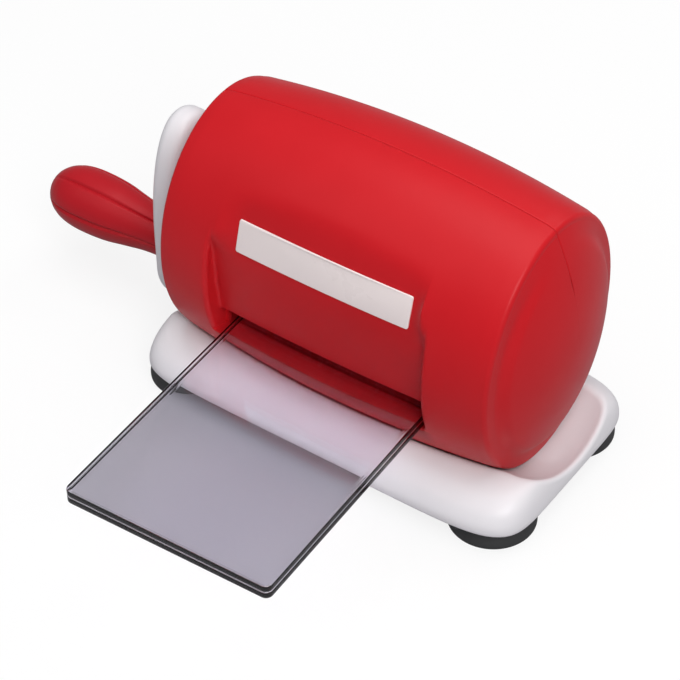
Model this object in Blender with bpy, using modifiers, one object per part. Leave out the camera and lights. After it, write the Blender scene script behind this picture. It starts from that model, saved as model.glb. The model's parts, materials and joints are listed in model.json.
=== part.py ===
"""Hand cranked die cutting machine: an oval barrel housing on a saddle base, two geared
rollers, a crank with a turning grip, and a pair of clear cutting plates in the mouth.

Metres, +Z up. X runs along the rollers, with the crank at -X, and the plates come out
towards -Y. The origin is on the flat underside of the base, below the middle of the rollers.
"""

import math

import bmesh
import bpy
from mathutils import Matrix, Vector

# Working gaps
GAP = 0.0003
OVERRUN = 0.004
MERGE = 0.00001

# Cutting plates, in two layers
PLATE_WIDTH = 0.076
PLATE_LENGTH = 0.152
PLATE_THICKNESS = 0.00245
PLATE_CORNER = 0.0025
PLATE_EDGE = 0.0004
PLATE_UNDERSIDE = 0.02766
PLATE_FRONT = 0.124
PLATE_YAW = math.radians(2.06)

# Rollers and their steel journals
ROLLER_RADIUS = 0.0095
ROLLER_EDGE = 0.0008
ROLLER_SIDE_ROOM = 0.0040
JOURNAL_RADIUS = 0.004
JOURNAL_EDGE = 0.0004

# Side frames
FRAME_THICKNESS = 0.0025
FRAME_ROLLER_GAP = 0.0027
FRAME_HALF_WIDTH = 0.023
FRAME_FOOT_HALF_WIDTH = 0.0024
FRAME_HEEL_HALF_WIDTH = 0.0120
FRAME_HEEL_RISE = 0.0040
FRAME_FOOT_RISE = 0.0150
FRAME_TOP_HALF_WIDTH = 0.0095
FRAME_TOP_RISE = 0.0145
FRAME_FLANGE_LENGTH = 0.011
FRAME_FLANGE_THICKNESS = 0.0024
FRAME_FLANGE_HALF_WIDTH = 0.0036
TIE_RADIUS = 0.0024
TIE_NECK_RADIUS = 0.0016
TIE_HEAD_RADIUS = 0.0028
TIE_HEAD_THICKNESS = 0.0014
UPPER_TIE_OFFSET = 0.0185
UPPER_TIE_RISE = 0.0135
LOWER_TIE_OFFSET = 0.0165
LOWER_TIE_DROP = 0.0055

# Flanged bushings and retaining rings
BUSHING_WALL = 0.0013
BUSHING_FLANGE_WIDTH = 0.0016
BUSHING_FLANGE_THICKNESS = 0.0012
RING_THICKNESS = 0.0009
RING_WIDTH = 0.0019
RING_STEPS = 16

# Gears
GEAR_TEETH = 24
PINION_TEETH = 18
PRESSURE_ANGLE = math.radians(20)
GEAR_WIDTH = 0.0075
GEAR_BACKLASH = 0.00034
ROOT_CLEARANCE = 0.00022
GEAR_WEB_THICKNESS = 0.0034
GEAR_HUB_RADIUS = 0.0066
FLANK_STEPS = 2

# Barrel housing: an oval barrel, deepest and tallest in the middle
BARREL_END_ROOM = 0.0065
BARREL_HEAD_ROOM = 0.01674
BARREL_END_UNDERSIDE = 0.0016
BARREL_END_DEPTH = 0.0382
BARREL_BULGE = 0.00434
BARREL_WALL = 0.0026
BARREL_STEPS = 44
BARREL_INNER_STEPS = 32
BARREL_STATIONS = 8
RIM_FILLET = 0.0011
RIM_FILLET_STEPS = 2
RIM_WIDTH = 0.0010
GROOVE_DEPTH = 0.0010
GROOVE_WIDTH = 0.0034
END_DOME = 0.0070
END_DOME_STEPS = 4
SEAM = 0.0003
BARREL_FLOOR = 0.0020
BOSS_RADIUS = 0.0032
BOSS_HEIGHT = 0.0062
BOSS_SPACING = 0.050
BOSS_OFFSET = 0.0125
FOOT_SLOT_HALF_LENGTH = 0.0520
FOOT_SLOT_HALF_WIDTH = 0.0072
FOOT_SLOT_RISE = 0.0016

# Flat panel and mouth in the front and in the back of the barrel
PANEL_SIDE_ROOM = 0.0035
PANEL_RECESS = 0.0050
PANEL_BOW = 0.0010
PANEL_BULGE = 0.0023
PANEL_TOP_DROP = 0.0076
PANEL_STATIONS = 8
MOUTH_HEAD_ROOM = 0.00234
# Each level of the panel above the mouth: share of its height, share of its bulge
PANEL_SHARES = (
    (0.0, 0.0),
    (0.13, 0.435),
    (0.28, 0.78),
    (0.394, 0.957),
    (0.47, 1.0),
    (0.517, 0.965),
    (0.564, 0.857),
    (0.83, -0.913),
    (0.924, -1.74),
    (1.0, -2.61),
)

# Label, on the stretch of the panel that leans back
LABEL_WIDTH = 0.0660
LABEL_HEIGHT = 0.0110
LABEL_THICKNESS = 0.0005
LABEL_RISE = 0.0311

# Guide beds between the mouths and the lower roller
BED_THICKNESS = 0.0022
BED_RIB_DROP = 0.0062
BED_RIB_THICKNESS = 0.0018
BED_ROLLER_GAP = 0.0007
BED_MOUTH_GAP = 0.0004

# Base
BASE_LEFT_REACH = 0.0105
BASE_RIGHT_REACH = 0.0140
BASE_FRONT_REACH = 0.0072
BASE_REAR_STEP = 0.0010
BASE_TOP = 0.0131
BASE_SQUARENESS = 7.2
BASE_OUTLINE_STEPS = 60
BASE_SIDE_INSET = 0.0135
BASE_FRONT_INSET = 0.0230
BASE_FLOOR = 0.0017
# Each layer: share of the height, of the side inset and of the front inset
BASE_LAYER_SHARES = (
    (0.0, 0.07, 0.035),
    (0.055, 0.0, 0.0),
    (0.30, 0.02, 0.015),
    (0.57, 0.075, 0.11),
    (0.75, 0.135, 0.245),
    (0.87, 0.20, 0.39),
    (0.95, 0.31, 0.57),
    (0.985, 0.52, 0.77),
    (1.0, 1.0, 1.0),
)
DISH_REACH = 0.0260
# Each station of the dish past the barrel's end: share of the reach, share of the end depth
DISH_SHARES = ((0.0, 1.0), (0.25, 0.99), (0.42, 0.967), (0.58, 0.93), (1.0, 0.84))

# Suction cup feet
FOOT_INSET = 0.0024
FOOT_FRONT = 0.0271
FOOT_REAR = 0.0221
FOOT_RADIUS = 0.0148
FOOT_HEIGHT = 0.0080
FOOT_LIP = 0.0015
FOOT_LIP_HEIGHT = 0.0011
FOOT_SHOULDER_RADIUS = 0.0118
FOOT_HOLLOW = 0.0034
FOOT_STEM_RADIUS = 0.0045
FOOT_STEM_HEIGHT = 0.0028
FOOT_STEPS = 24
FOOT_HOLLOW_STEPS = 3

# Screws from below
SCREW_RADIUS = 0.0015
SCREW_HEAD_RADIUS = 0.0030
SCREW_HEAD_HEIGHT = 0.0017
SCREW_EDGE = 0.0005
SCREW_COVER_REACH = 0.0040
SCREW_STEPS = 12

# Crank arm: a paddle that hangs from the hub, narrower towards its top
CRANK_RADIUS = 0.0450
ARM_ROOM = 0.0008
ARM_THICKNESS = 0.0102
ARM_HALF_WIDTH = 0.0173
ARM_TOP = 0.0791
ARM_SHOULDER = 0.0345
ARM_TOP_SQUARENESS = 2.2
ARM_EDGE = 0.0042
ARM_EDGE_STEPS = 3
ARM_TOP_STEPS = 18
ARM_BOTTOM_STEPS = 12
ARM_BOSS_RADIUS = 0.0090
HUB_HOLE_RADIUS = 0.0068
HUB_SCREW_RADIUS = 0.0020
HUB_SCREW_HEAD_RADIUS = 0.0042
HUB_SCREW_HEAD_HEIGHT = 0.0022
HUB_SCREW_REACH = 0.0125
HUB_RECESS_DEPTH = 0.0030
SHAFT_END_INSET = 0.0016

# Fluted grip on its pin
GRIP_LENGTH = 0.0563
GRIP_RADIUS = 0.01155
GRIP_STANDOFF = 0.0011
GRIP_FLUTES = 6
GRIP_FLUTE_DEPTH = 0.0006
GRIP_ROLL = math.radians(38)
# Points round one flute, as shares of its pitch, the groove itself first
GRIP_PITCH_SHARES = (0.0, 0.11, 0.30, 0.50, 0.70, 0.89)
# Each station: share of the length, share of the largest radius, share of the flute depth
GRIP_SHARES = (
    (0.0, 0.64, 0.0),
    (0.015, 0.67, 0.6),
    (0.12, 0.69, 1.0),
    (0.22, 0.73, 1.0),
    (0.31, 0.80, 1.0),
    (0.40, 0.875, 1.0),
    (0.49, 0.95, 1.0),
    (0.57, 0.985, 1.0),
    (0.657, 1.0, 1.0),
    (0.74, 0.989, 1.0),
    (0.82, 0.93, 0.9),
    (0.88, 0.828, 0.75),
    (0.93, 0.677, 0.5),
    (0.965, 0.501, 0.25),
    (0.988, 0.30, 0.0),
    (1.0, 0.06, 0.0),
)
PIN_RADIUS = 0.0026
PIN_GRIP_REACH = 0.0360
PIN_HEAD_RADIUS = 0.0042
PIN_HEAD_THICKNESS = 0.0015
PIN_EDGE = 0.0004

ROUND_STEPS = 20

# Places that follow from the sizes above
PLATE_TOP = PLATE_UNDERSIDE + PLATE_THICKNESS + GAP + PLATE_THICKNESS
MOUTH_FLOOR = PLATE_UNDERSIDE - GAP
MOUTH_ROOF = PLATE_TOP + MOUTH_HEAD_ROOM
LABEL_UNDERSIDE = MOUTH_ROOF + LABEL_RISE
LOWER_AXIS = PLATE_UNDERSIDE - GAP - ROLLER_RADIUS
UPPER_AXIS = PLATE_TOP + GAP + ROLLER_RADIUS
MODULE = (UPPER_AXIS - LOWER_AXIS) / GEAR_TEETH
CRANK_AXIS = UPPER_AXIS + MODULE * (GEAR_TEETH + PINION_TEETH) / 2
GRIP_AXIS = CRANK_AXIS - CRANK_RADIUS
ROLLER_LENGTH = PLATE_WIDTH + 2 * ROLLER_SIDE_ROOM
FRAME_INNER = ROLLER_LENGTH / 2 + FRAME_ROLLER_GAP
FRAME_OUTER = FRAME_INNER + FRAME_THICKNESS
GEAR_INNER = FRAME_OUTER + GAP + TIE_HEAD_THICKNESS + 2 * GAP
GEAR_OUTER = GEAR_INNER + GEAR_WIDTH
RING_PLACE = FRAME_OUTER + GAP
JOURNAL_LEFT = GEAR_OUTER + GAP + RING_THICKNESS + 2 * GAP
JOURNAL_RIGHT = RING_PLACE + RING_THICKNESS + 2 * GAP
BORE_RADIUS = JOURNAL_RADIUS + GAP
BUSHING_RADIUS = BORE_RADIUS + BUSHING_WALL
BARREL_HALF_LENGTH = GEAR_OUTER + BARREL_END_ROOM
BARREL_END_TOP = CRANK_AXIS + FRAME_TOP_RISE + BARREL_HEAD_ROOM
BARREL_END_HEIGHT = (BARREL_END_TOP - BARREL_END_UNDERSIDE) / 2
BARREL_AXIS_HEIGHT = (BARREL_END_TOP + BARREL_END_UNDERSIDE) / 2
PANEL_TOP = BARREL_END_TOP - PANEL_TOP_DROP
PANEL_HALF_WIDTH = PLATE_WIDTH / 2 + PANEL_SIDE_ROOM
PANEL_DEPTH = BARREL_END_DEPTH - PANEL_RECESS
BED_DEPTH = PANEL_DEPTH - BARREL_WALL - BED_MOUTH_GAP
BASE_LEFT = BARREL_HALF_LENGTH + BASE_LEFT_REACH
BASE_RIGHT = BARREL_HALF_LENGTH + BASE_RIGHT_REACH
BASE_FRONT = BARREL_END_DEPTH + BASE_FRONT_REACH
BASE_REAR = BARREL_END_DEPTH - BASE_REAR_STEP
FOOT_SIDE = BARREL_HALF_LENGTH - FOOT_INSET
ARM_INNER = BASE_LEFT + ARM_ROOM
ARM_OUTER = ARM_INNER + ARM_THICKNESS
ACROSS_X = Matrix.Rotation(math.radians(90), 4, "Y")


def clearScene():
    for item in list(bpy.data.objects):
        bpy.data.objects.remove(item)
    for material in list(bpy.data.materials):
        bpy.data.materials.remove(material)


def newCollection(name, hidden=False):
    group = bpy.data.collections.new(name)
    bpy.context.scene.collection.children.link(group)
    group.hide_render = hidden
    return group


def newMaterial(name, colour, roughness, metallic=0.0, alpha=1.0):
    material = bpy.data.materials.new(name)
    material.use_nodes = True
    shader = material.node_tree.nodes["Principled BSDF"]
    shader.inputs["Base Color"].default_value = (*colour, 1.0)
    shader.inputs["Roughness"].default_value = roughness
    shader.inputs["Metallic"].default_value = metallic
    shader.inputs["Alpha"].default_value = alpha
    return material


def place(mesh, name, group, material=None):
    """Puts a mesh in the scene as an object of a collection, shaded smooth but for its edges."""
    item = bpy.data.objects.new(name, mesh)
    group.objects.link(item)
    if material:
        mesh.materials.append(material)
    mesh.shade_smooth()
    mesh.set_sharp_from_angle(angle=math.radians(32))
    return item


def asCutter(item):
    item.hide_render = True
    item.display_type = "WIRE"
    return item


def meshFrom(builder, name):
    """A mesh from a bmesh, with its faces turned outwards."""
    bmesh.ops.recalc_face_normals(builder, faces=builder.faces)
    mesh = bpy.data.meshes.new(name)
    builder.to_mesh(mesh)
    builder.free()
    return mesh


def loft(name, rings):
    """Joins rings of equally many points with quads and closes both ends."""
    builder = bmesh.new()
    rows = [[builder.verts.new(point) for point in ring] for ring in rings]
    count = len(rows[0])
    for row, following in zip(rows, rows[1:]):
        for index in range(count):
            after = (index + 1) % count
            builder.faces.new((row[index], row[after], following[after], following[index]))
    builder.faces.new(rows[0])
    builder.faces.new(rows[-1])
    return meshFrom(builder, name)


def prismAlongX(name, outline, low, high):
    """A prism with a flat (y, z) outline from one x to another."""
    return loft(name, [[Vector((x, y, z)) for y, z in outline] for x in (low, high)])


def boxMesh(name, low, high):
    builder = bmesh.new()
    bmesh.ops.create_cube(builder, size=1.0)
    size = Vector(high) - Vector(low)
    middle = (Vector(high) + Vector(low)) / 2
    bmesh.ops.scale(builder, vec=size, verts=builder.verts)
    bmesh.ops.translate(builder, vec=middle, verts=builder.verts)
    return meshFrom(builder, name)


def bar(name, start, end, radius, steps=ROUND_STEPS):
    """A round bar between two points."""
    line = Vector(end) - Vector(start)
    builder = bmesh.new()
    bmesh.ops.create_cone(
        builder, cap_ends=True, segments=steps, radius1=radius, radius2=radius, depth=line.length
    )
    turn = Vector((0, 0, 1)).rotation_difference(line).to_matrix().to_4x4()
    middle = Matrix.Translation((Vector(start) + Vector(end)) / 2)
    bmesh.ops.transform(builder, matrix=middle @ turn, verts=builder.verts)
    return meshFrom(builder, name)


def turned(name, profile, group, material=None, steps=ROUND_STEPS):
    """Turns a profile of (radius, height) points about Z. The profile runs down its outer side."""
    mesh = bpy.data.meshes.new(name)
    points = [(radius, 0, height) for radius, height in profile]
    mesh.from_pydata(points, [(i, i + 1) for i in range(len(points) - 1)], [])
    item = place(mesh, name, group, material)
    screw = item.modifiers.new("turn", "SCREW")
    screw.axis = "Z"
    screw.steps = steps
    screw.render_steps = steps
    screw.use_merge_vertices = True
    screw.merge_threshold = MERGE
    screw.use_smooth_shade = True
    return item


def baked(item, group, shape=Matrix.Identity(4)):
    """The evaluated object as a plain mesh in world space, which replaces the object."""
    bpy.context.view_layer.update()
    graph = bpy.context.evaluated_depsgraph_get()
    mesh = bpy.data.meshes.new_from_object(item.evaluated_get(graph))
    name = item.name
    mesh.transform(shape @ item.matrix_world)
    bpy.data.objects.remove(item)
    builder = bmesh.new()
    builder.from_mesh(mesh)
    bmesh.ops.remove_doubles(builder, verts=builder.verts, dist=MERGE)
    bmesh.ops.recalc_face_normals(builder, faces=builder.faces)
    builder.to_mesh(mesh)
    builder.free()
    mesh.name = name
    return place(mesh, name, group)


def boolean(item, other, operation="DIFFERENCE"):
    change = item.modifiers.new(operation.lower(), "BOOLEAN")
    change.operation = operation
    change.solver = "EXACT"
    change.object = other
    return item


def barrelShare(x):
    """How far the barrel has bulged at x, from 0 at its ends to 1 in the middle."""
    return 1 - (x / BARREL_HALF_LENGTH) ** 2


def bodyProfile(endRadius, halfLength, stations):
    """The bulging stretch of a barrel profile, from its +X end to its -X end."""
    places = [halfLength - 2 * halfLength * i / stations for i in range(stations + 1)]
    return [(endRadius + BARREL_BULGE * barrelShare(x), x) for x in places]


def outerEndProfile():
    """One end of the barrel, from the middle of its dome out to the rim's fillet."""
    rimInner = BARREL_END_DEPTH - RIM_FILLET - RIM_WIDTH
    domeRadius = rimInner - GROOVE_WIDTH
    floor = BARREL_HALF_LENGTH - GROOVE_DEPTH
    points = []
    for step in range(END_DOME_STEPS):
        share = step / END_DOME_STEPS
        points.append((domeRadius * share, floor + END_DOME * (1 - share**2)))
    points.append((domeRadius, floor))
    points.append((rimInner - GROOVE_WIDTH / 4, floor))
    points.append((rimInner, BARREL_HALF_LENGTH))
    for step in range(RIM_FILLET_STEPS):
        angle = math.radians(90) * step / RIM_FILLET_STEPS
        points.append(
            (
                BARREL_END_DEPTH - RIM_FILLET * (1 - math.sin(angle)),
                BARREL_HALF_LENGTH - RIM_FILLET * (1 - math.cos(angle)),
            )
        )
    return points


def innerEndProfile():
    """The same end inside the wall."""
    rimInner = BARREL_END_DEPTH - RIM_FILLET - RIM_WIDTH
    domeRadius = rimInner - GROOVE_WIDTH
    floor = BARREL_HALF_LENGTH - GROOVE_DEPTH - BARREL_WALL
    points = []
    for step in range(END_DOME_STEPS // 2):
        share = 2 * step / END_DOME_STEPS
        points.append((domeRadius * share, floor + END_DOME * (1 - share**2)))
    points.append((domeRadius, floor))
    return points


def mirroredProfile(end, body):
    return end + body + [(radius, -x) for radius, x in reversed(end)]


def ovalBarrel(name, profile, height, depth, steps, group):
    """Turns a profile, lays it along X and stretches it upright into an oval."""
    item = turned(name, profile, group, steps=steps)
    stretch = Matrix.Diagonal((1, 1, height / depth, 1))
    raised = Matrix.Translation((0, 0, BARREL_AXIS_HEIGHT))
    return baked(item, group, raised @ stretch @ ACROSS_X)


def panelDepth(z):
    """How far out the side edges of the panel stand at a height."""
    place = (z - MOUTH_ROOF) / (PANEL_TOP - MOUTH_ROOF)
    for (start, bulge), (end, nextBulge) in zip(PANEL_SHARES, PANEL_SHARES[1:]):
        if place <= end:
            break
    share = max(0, (place - start) / (end - start))
    return PANEL_DEPTH + PANEL_BULGE * (bulge + (nextBulge - bulge) * share)


def panelBow(x):
    """How much further out the panel stands at x than at its side edges."""
    return PANEL_BOW * (1 - (x / PANEL_HALF_WIDTH) ** 2)


def bowedBlock(name, side, widening, setBack, low, high, group):
    """A block outside the panel, whose inner face bows out with the barrel."""
    between = [MOUTH_ROOF + (PANEL_TOP - MOUTH_ROOF) * share for share, _ in PANEL_SHARES]
    levels = [low] + [z for z in between if low < z < high] + [high]
    outside = BARREL_END_DEPTH + BARREL_BULGE + OVERRUN
    rings = []
    for step in range(PANEL_STATIONS + 1):
        share = 2 * step / PANEL_STATIONS - 1
        bow = panelBow(PANEL_HALF_WIDTH * share)
        x = (PANEL_HALF_WIDTH + widening) * share
        corners = [(panelDepth(z) - setBack + bow, z) for z in levels]
        corners += [(outside, high), (outside, low)]
        rings.append([Vector((x, y * side, z)) for y, z in corners])
    return asCutter(place(loft(name, rings), name, group))


def coverHalf(name, side, group, cutters, material):
    """Half of the barrel housing: its panel, its mouth, the wall behind them and two bosses."""
    body = bodyProfile(BARREL_END_DEPTH, BARREL_HALF_LENGTH - RIM_FILLET, BARREL_STATIONS)
    outer = ovalBarrel(
        name,
        mirroredProfile(outerEndProfile(), body),
        BARREL_END_HEIGHT,
        BARREL_END_DEPTH,
        BARREL_STEPS,
        group,
    )
    outer.data.materials.append(material)
    innerDepth = BARREL_END_DEPTH - BARREL_WALL
    innerLength = BARREL_HALF_LENGTH - GROOVE_DEPTH - BARREL_WALL
    hollow = ovalBarrel(
        name + "_hollow",
        mirroredProfile(
            innerEndProfile(), bodyProfile(innerDepth, innerLength, BARREL_STATIONS // 2)
        ),
        BARREL_END_HEIGHT - BARREL_WALL,
        innerDepth,
        BARREL_INNER_STEPS,
        cutters,
    )
    backing = bowedBlock(
        name + "_backing",
        side,
        BARREL_WALL,
        BARREL_WALL,
        MOUTH_FLOOR - BARREL_WALL,
        PANEL_TOP,
        cutters,
    )
    boolean(asCutter(hollow), backing)
    recess = bowedBlock(
        name + "_recess",
        side,
        0,
        0,
        MOUTH_FLOOR,
        PANEL_TOP + OVERRUN,
        cutters,
    )
    mouth = box(
        name + "_mouth",
        (-PANEL_HALF_WIDTH, 0, MOUTH_FLOOR),
        (PANEL_HALF_WIDTH, (BARREL_END_DEPTH + OVERRUN) * side, MOUTH_ROOF),
        cutters,
    )
    reach = BARREL_HALF_LENGTH + END_DOME + OVERRUN
    tall = BARREL_AXIS_HEIGHT + BARREL_END_HEIGHT + BARREL_BULGE + BARREL_BULGE + OVERRUN
    deep = BARREL_END_DEPTH + BARREL_BULGE + OVERRUN
    below = box(
        name + "_below",
        (-reach, -deep, -BARREL_AXIS_HEIGHT),
        (reach, deep, BARREL_FLOOR),
        cutters,
    )
    otherHalf = box(
        name + "_other_half",
        (-reach, SEAM / 2 * side, -BARREL_AXIS_HEIGHT),
        (reach, -deep * side, tall),
        cutters,
    )
    hub = asCutter(
        place(
            bar(
                name + "_hub_hole",
                (-reach, 0, CRANK_AXIS),
                (-FRAME_OUTER, 0, CRANK_AXIS),
                HUB_HOLE_RADIUS,
            ),
            name + "_hub_hole",
            cutters,
        )
    )
    slot = box(
        name + "_foot_slot",
        (-FOOT_SLOT_HALF_LENGTH, 0, -BARREL_AXIS_HEIGHT),
        (FOOT_SLOT_HALF_LENGTH, FOOT_SLOT_HALF_WIDTH * side, BARREL_FLOOR + FOOT_SLOT_RISE),
        cutters,
    )
    for cutter in (hollow, recess, mouth, hub, otherHalf, slot):
        boolean(outer, cutter)
    places = [(x * BOSS_SPACING / 2, BOSS_OFFSET * side) for x in (-1, 1)]
    for index, (x, y) in enumerate(places):
        top = BARREL_FLOOR + BOSS_HEIGHT
        boss = bar(f"{name}_boss_{index}", (x, y, 0), (x, y, top), BOSS_RADIUS, SCREW_STEPS)
        boolean(outer, asCutter(place(boss, boss.name, cutters)), "UNION")
    boolean(outer, below)
    for index, (x, y) in enumerate(places):
        top = BARREL_FLOOR + SCREW_COVER_REACH + GAP
        radius = SCREW_RADIUS + GAP
        hole = bar(f"{name}_boss_hole_{index}", (x, y, 0), (x, y, top), radius, SCREW_STEPS)
        boolean(outer, asCutter(place(hole, hole.name, cutters)))


def box(name, low, high, group):
    """A box cutter between two corners given in any order."""
    pairs = [sorted(pair) for pair in zip(low, high)]
    mesh = boxMesh(name, [pair[0] for pair in pairs], [pair[1] for pair in pairs])
    return asCutter(place(mesh, name, group))


def makeLabel(group, material):
    """A thin plate that follows the bow and the lean of the panel above the mouth."""
    low = LABEL_UNDERSIDE
    high = LABEL_UNDERSIDE + LABEL_HEIGHT
    rings = []
    for step in range(PANEL_STATIONS + 1):
        x = LABEL_WIDTH * (step / PANEL_STATIONS - 1 / 2)
        backs = [(-panelDepth(z) - panelBow(x) - GAP, z) for z in (low, high)]
        fronts = [(y - LABEL_THICKNESS, z) for y, z in reversed(backs)]
        rings.append([Vector((x, y, z)) for y, z in backs + fronts])
    place(loft("label", rings), "label", group, material)


def baseOutline(z, sideInset, frontInset):
    """A bowed rectangle with round corners, as points round one level of the base."""
    halfX = (BASE_LEFT + BASE_RIGHT) / 2
    halfY = (BASE_FRONT + BASE_REAR) / 2
    centreX = (BASE_RIGHT - BASE_LEFT) / 2
    centreY = (BASE_REAR - BASE_FRONT) / 2
    points = []
    for step in range(BASE_OUTLINE_STEPS):
        angle = math.radians(360) * step / BASE_OUTLINE_STEPS
        cosine, sine = math.cos(angle), math.sin(angle)
        power = BASE_SQUARENESS
        reach = (abs(cosine) ** power + abs(sine) ** power) ** (-1 / power)
        x = centreX + (halfX - sideInset) * cosine * reach
        y = centreY + (halfY - frontInset) * sine * reach
        points.append(Vector((x, y, z)))
    return points


def saddleCutter(cutters):
    """The barrel's own form with a clearance, run on past its ends as a dish."""
    end = []
    for reach, share in reversed(DISH_SHARES):
        radius = BARREL_END_DEPTH * share + GAP
        end.append((radius, BARREL_HALF_LENGTH + DISH_REACH * reach))
    furthest = end[0][1]
    body = bodyProfile(BARREL_END_DEPTH + GAP, BARREL_HALF_LENGTH, BARREL_STATIONS)
    profile = [(0, furthest)] + end[:-1] + body
    profile += [(radius, -x) for radius, x in reversed(end[:-1])] + [(0, -furthest)]
    saddle = ovalBarrel(
        "base_saddle",
        profile,
        BARREL_END_HEIGHT,
        BARREL_END_DEPTH,
        BARREL_STEPS,
        cutters,
    )
    reach = BARREL_HALF_LENGTH + DISH_REACH + OVERRUN
    deep = BARREL_END_DEPTH + BARREL_BULGE + OVERRUN
    floor = box(
        "base_floor",
        (-reach, -deep, -BARREL_AXIS_HEIGHT),
        (reach, deep, BASE_FLOOR),
        cutters,
    )
    return boolean(asCutter(saddle), floor)


def footPlaces():
    """Name, x and y of each foot."""
    places = []
    for side, x in (("left", -FOOT_SIDE), ("right", FOOT_SIDE)):
        places.append((f"front_{side}", x, -FOOT_FRONT))
        places.append((f"rear_{side}", x, FOOT_REAR))
    return places


def coverScrewPlaces():
    """Name, x and y of each screw that comes up into a cover boss."""
    places = []
    for side, y in (("front", -BOSS_OFFSET), ("rear", BOSS_OFFSET)):
        places.append((f"cover_screw_{side}_left", -BOSS_SPACING / 2, y))
        places.append((f"cover_screw_{side}_right", BOSS_SPACING / 2, y))
    return places


def frameScrewPlaces():
    """Name, x and y of the screw that holds each side frame's flange."""
    x = FRAME_INNER - FRAME_FLANGE_LENGTH / 2
    return [("frame_screw_left", -x, 0), ("frame_screw_right", x, 0)]


def makeBase(group, cutters, material):
    rings = []
    for height, side, front in BASE_LAYER_SHARES:
        insets = BASE_SIDE_INSET * side, BASE_FRONT_INSET * front
        rings.append(baseOutline(BASE_TOP * height, *insets))
    base = place(loft("base", rings), "base", group, material)
    boolean(base, saddleCutter(cutters))
    for name, x, y in footPlaces():
        hole = bar(
            f"base_{name}_hole",
            (x, y, -OVERRUN),
            (x, y, FOOT_STEM_HEIGHT + GAP),
            FOOT_STEM_RADIUS + GAP,
        )
        boolean(base, asCutter(place(hole, hole.name, cutters)))
    for name, x, y in coverScrewPlaces() + frameScrewPlaces():
        hole = bar(
            f"base_{name}_hole",
            (x, y, -OVERRUN),
            (x, y, BASE_FLOOR + OVERRUN),
            SCREW_RADIUS + GAP,
            SCREW_STEPS,
        )
        boolean(base, asCutter(place(hole, hole.name, cutters)))


def makeFeet(group, material):
    """A suction cup under each corner, with its stem pushed into the base."""
    hollowRadius = FOOT_RADIUS - FOOT_LIP
    profile = [
        (0, FOOT_STEM_HEIGHT),
        (FOOT_STEM_RADIUS, FOOT_STEM_HEIGHT),
        (FOOT_STEM_RADIUS, -GAP),
        (FOOT_SHOULDER_RADIUS - FOOT_LIP_HEIGHT, -GAP),
        (FOOT_SHOULDER_RADIUS, -GAP - FOOT_LIP_HEIGHT),
        (FOOT_RADIUS, -FOOT_HEIGHT + FOOT_LIP_HEIGHT),
        (FOOT_RADIUS, -FOOT_HEIGHT),
        (hollowRadius, -FOOT_HEIGHT),
    ]
    for step in range(1, FOOT_HOLLOW_STEPS + 1):
        share = 1 - step / FOOT_HOLLOW_STEPS
        profile.append((hollowRadius * share, -FOOT_HEIGHT + FOOT_HOLLOW * (1 - share**2)))
    for name, x, y in footPlaces():
        foot = turned(f"foot_{name}", profile, group, material, FOOT_STEPS)
        foot.location = (x, y, 0)


def makeScrews(group, material):
    """Pan head screws that come up through the base's floor."""
    reaches = [(entry, BARREL_FLOOR + SCREW_COVER_REACH) for entry in coverScrewPlaces()]
    flangeTop = BASE_FLOOR + GAP + FRAME_FLANGE_THICKNESS
    reaches += [(entry, flangeTop) for entry in frameScrewPlaces()]
    for (name, x, y), top in reaches:
        under = -GAP - SCREW_HEAD_HEIGHT
        profile = [
            (0, top),
            (SCREW_RADIUS - SCREW_EDGE, top),
            (SCREW_RADIUS, top - SCREW_EDGE),
            (SCREW_RADIUS, -GAP),
            (SCREW_HEAD_RADIUS, -GAP),
            (SCREW_HEAD_RADIUS, under + SCREW_EDGE),
            (SCREW_HEAD_RADIUS - SCREW_EDGE, under),
            (0, under),
        ]
        turned(name, profile, group, material, SCREW_STEPS).location = (x, y, 0)


def tiePlaces():
    """Name, y and z of each tie rod between the side frames."""
    upper = CRANK_AXIS - UPPER_TIE_RISE
    lower = LOWER_AXIS - LOWER_TIE_DROP
    return [
        ("tie_rod_upper_front", -UPPER_TIE_OFFSET, upper),
        ("tie_rod_upper_rear", UPPER_TIE_OFFSET, upper),
        ("tie_rod_lower_front", -LOWER_TIE_OFFSET, lower),
        ("tie_rod_lower_rear", LOWER_TIE_OFFSET, lower),
    ]


def frameOutline():
    """Half of the frame's edge from its foot to its top, mirrored about the middle."""
    foot = BASE_FLOOR + GAP
    widest = foot + FRAME_FOOT_RISE
    shoulder = CRANK_AXIS - UPPER_TIE_RISE / 2
    top = CRANK_AXIS + FRAME_TOP_RISE
    right = [
        (FRAME_FOOT_HALF_WIDTH, foot),
        (FRAME_HEEL_HALF_WIDTH, foot + FRAME_HEEL_RISE),
        (FRAME_HALF_WIDTH, widest),
        (FRAME_HALF_WIDTH, shoulder),
        (FRAME_TOP_HALF_WIDTH, top),
    ]
    return right + [(-y, z) for y, z in reversed(right)]


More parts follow.
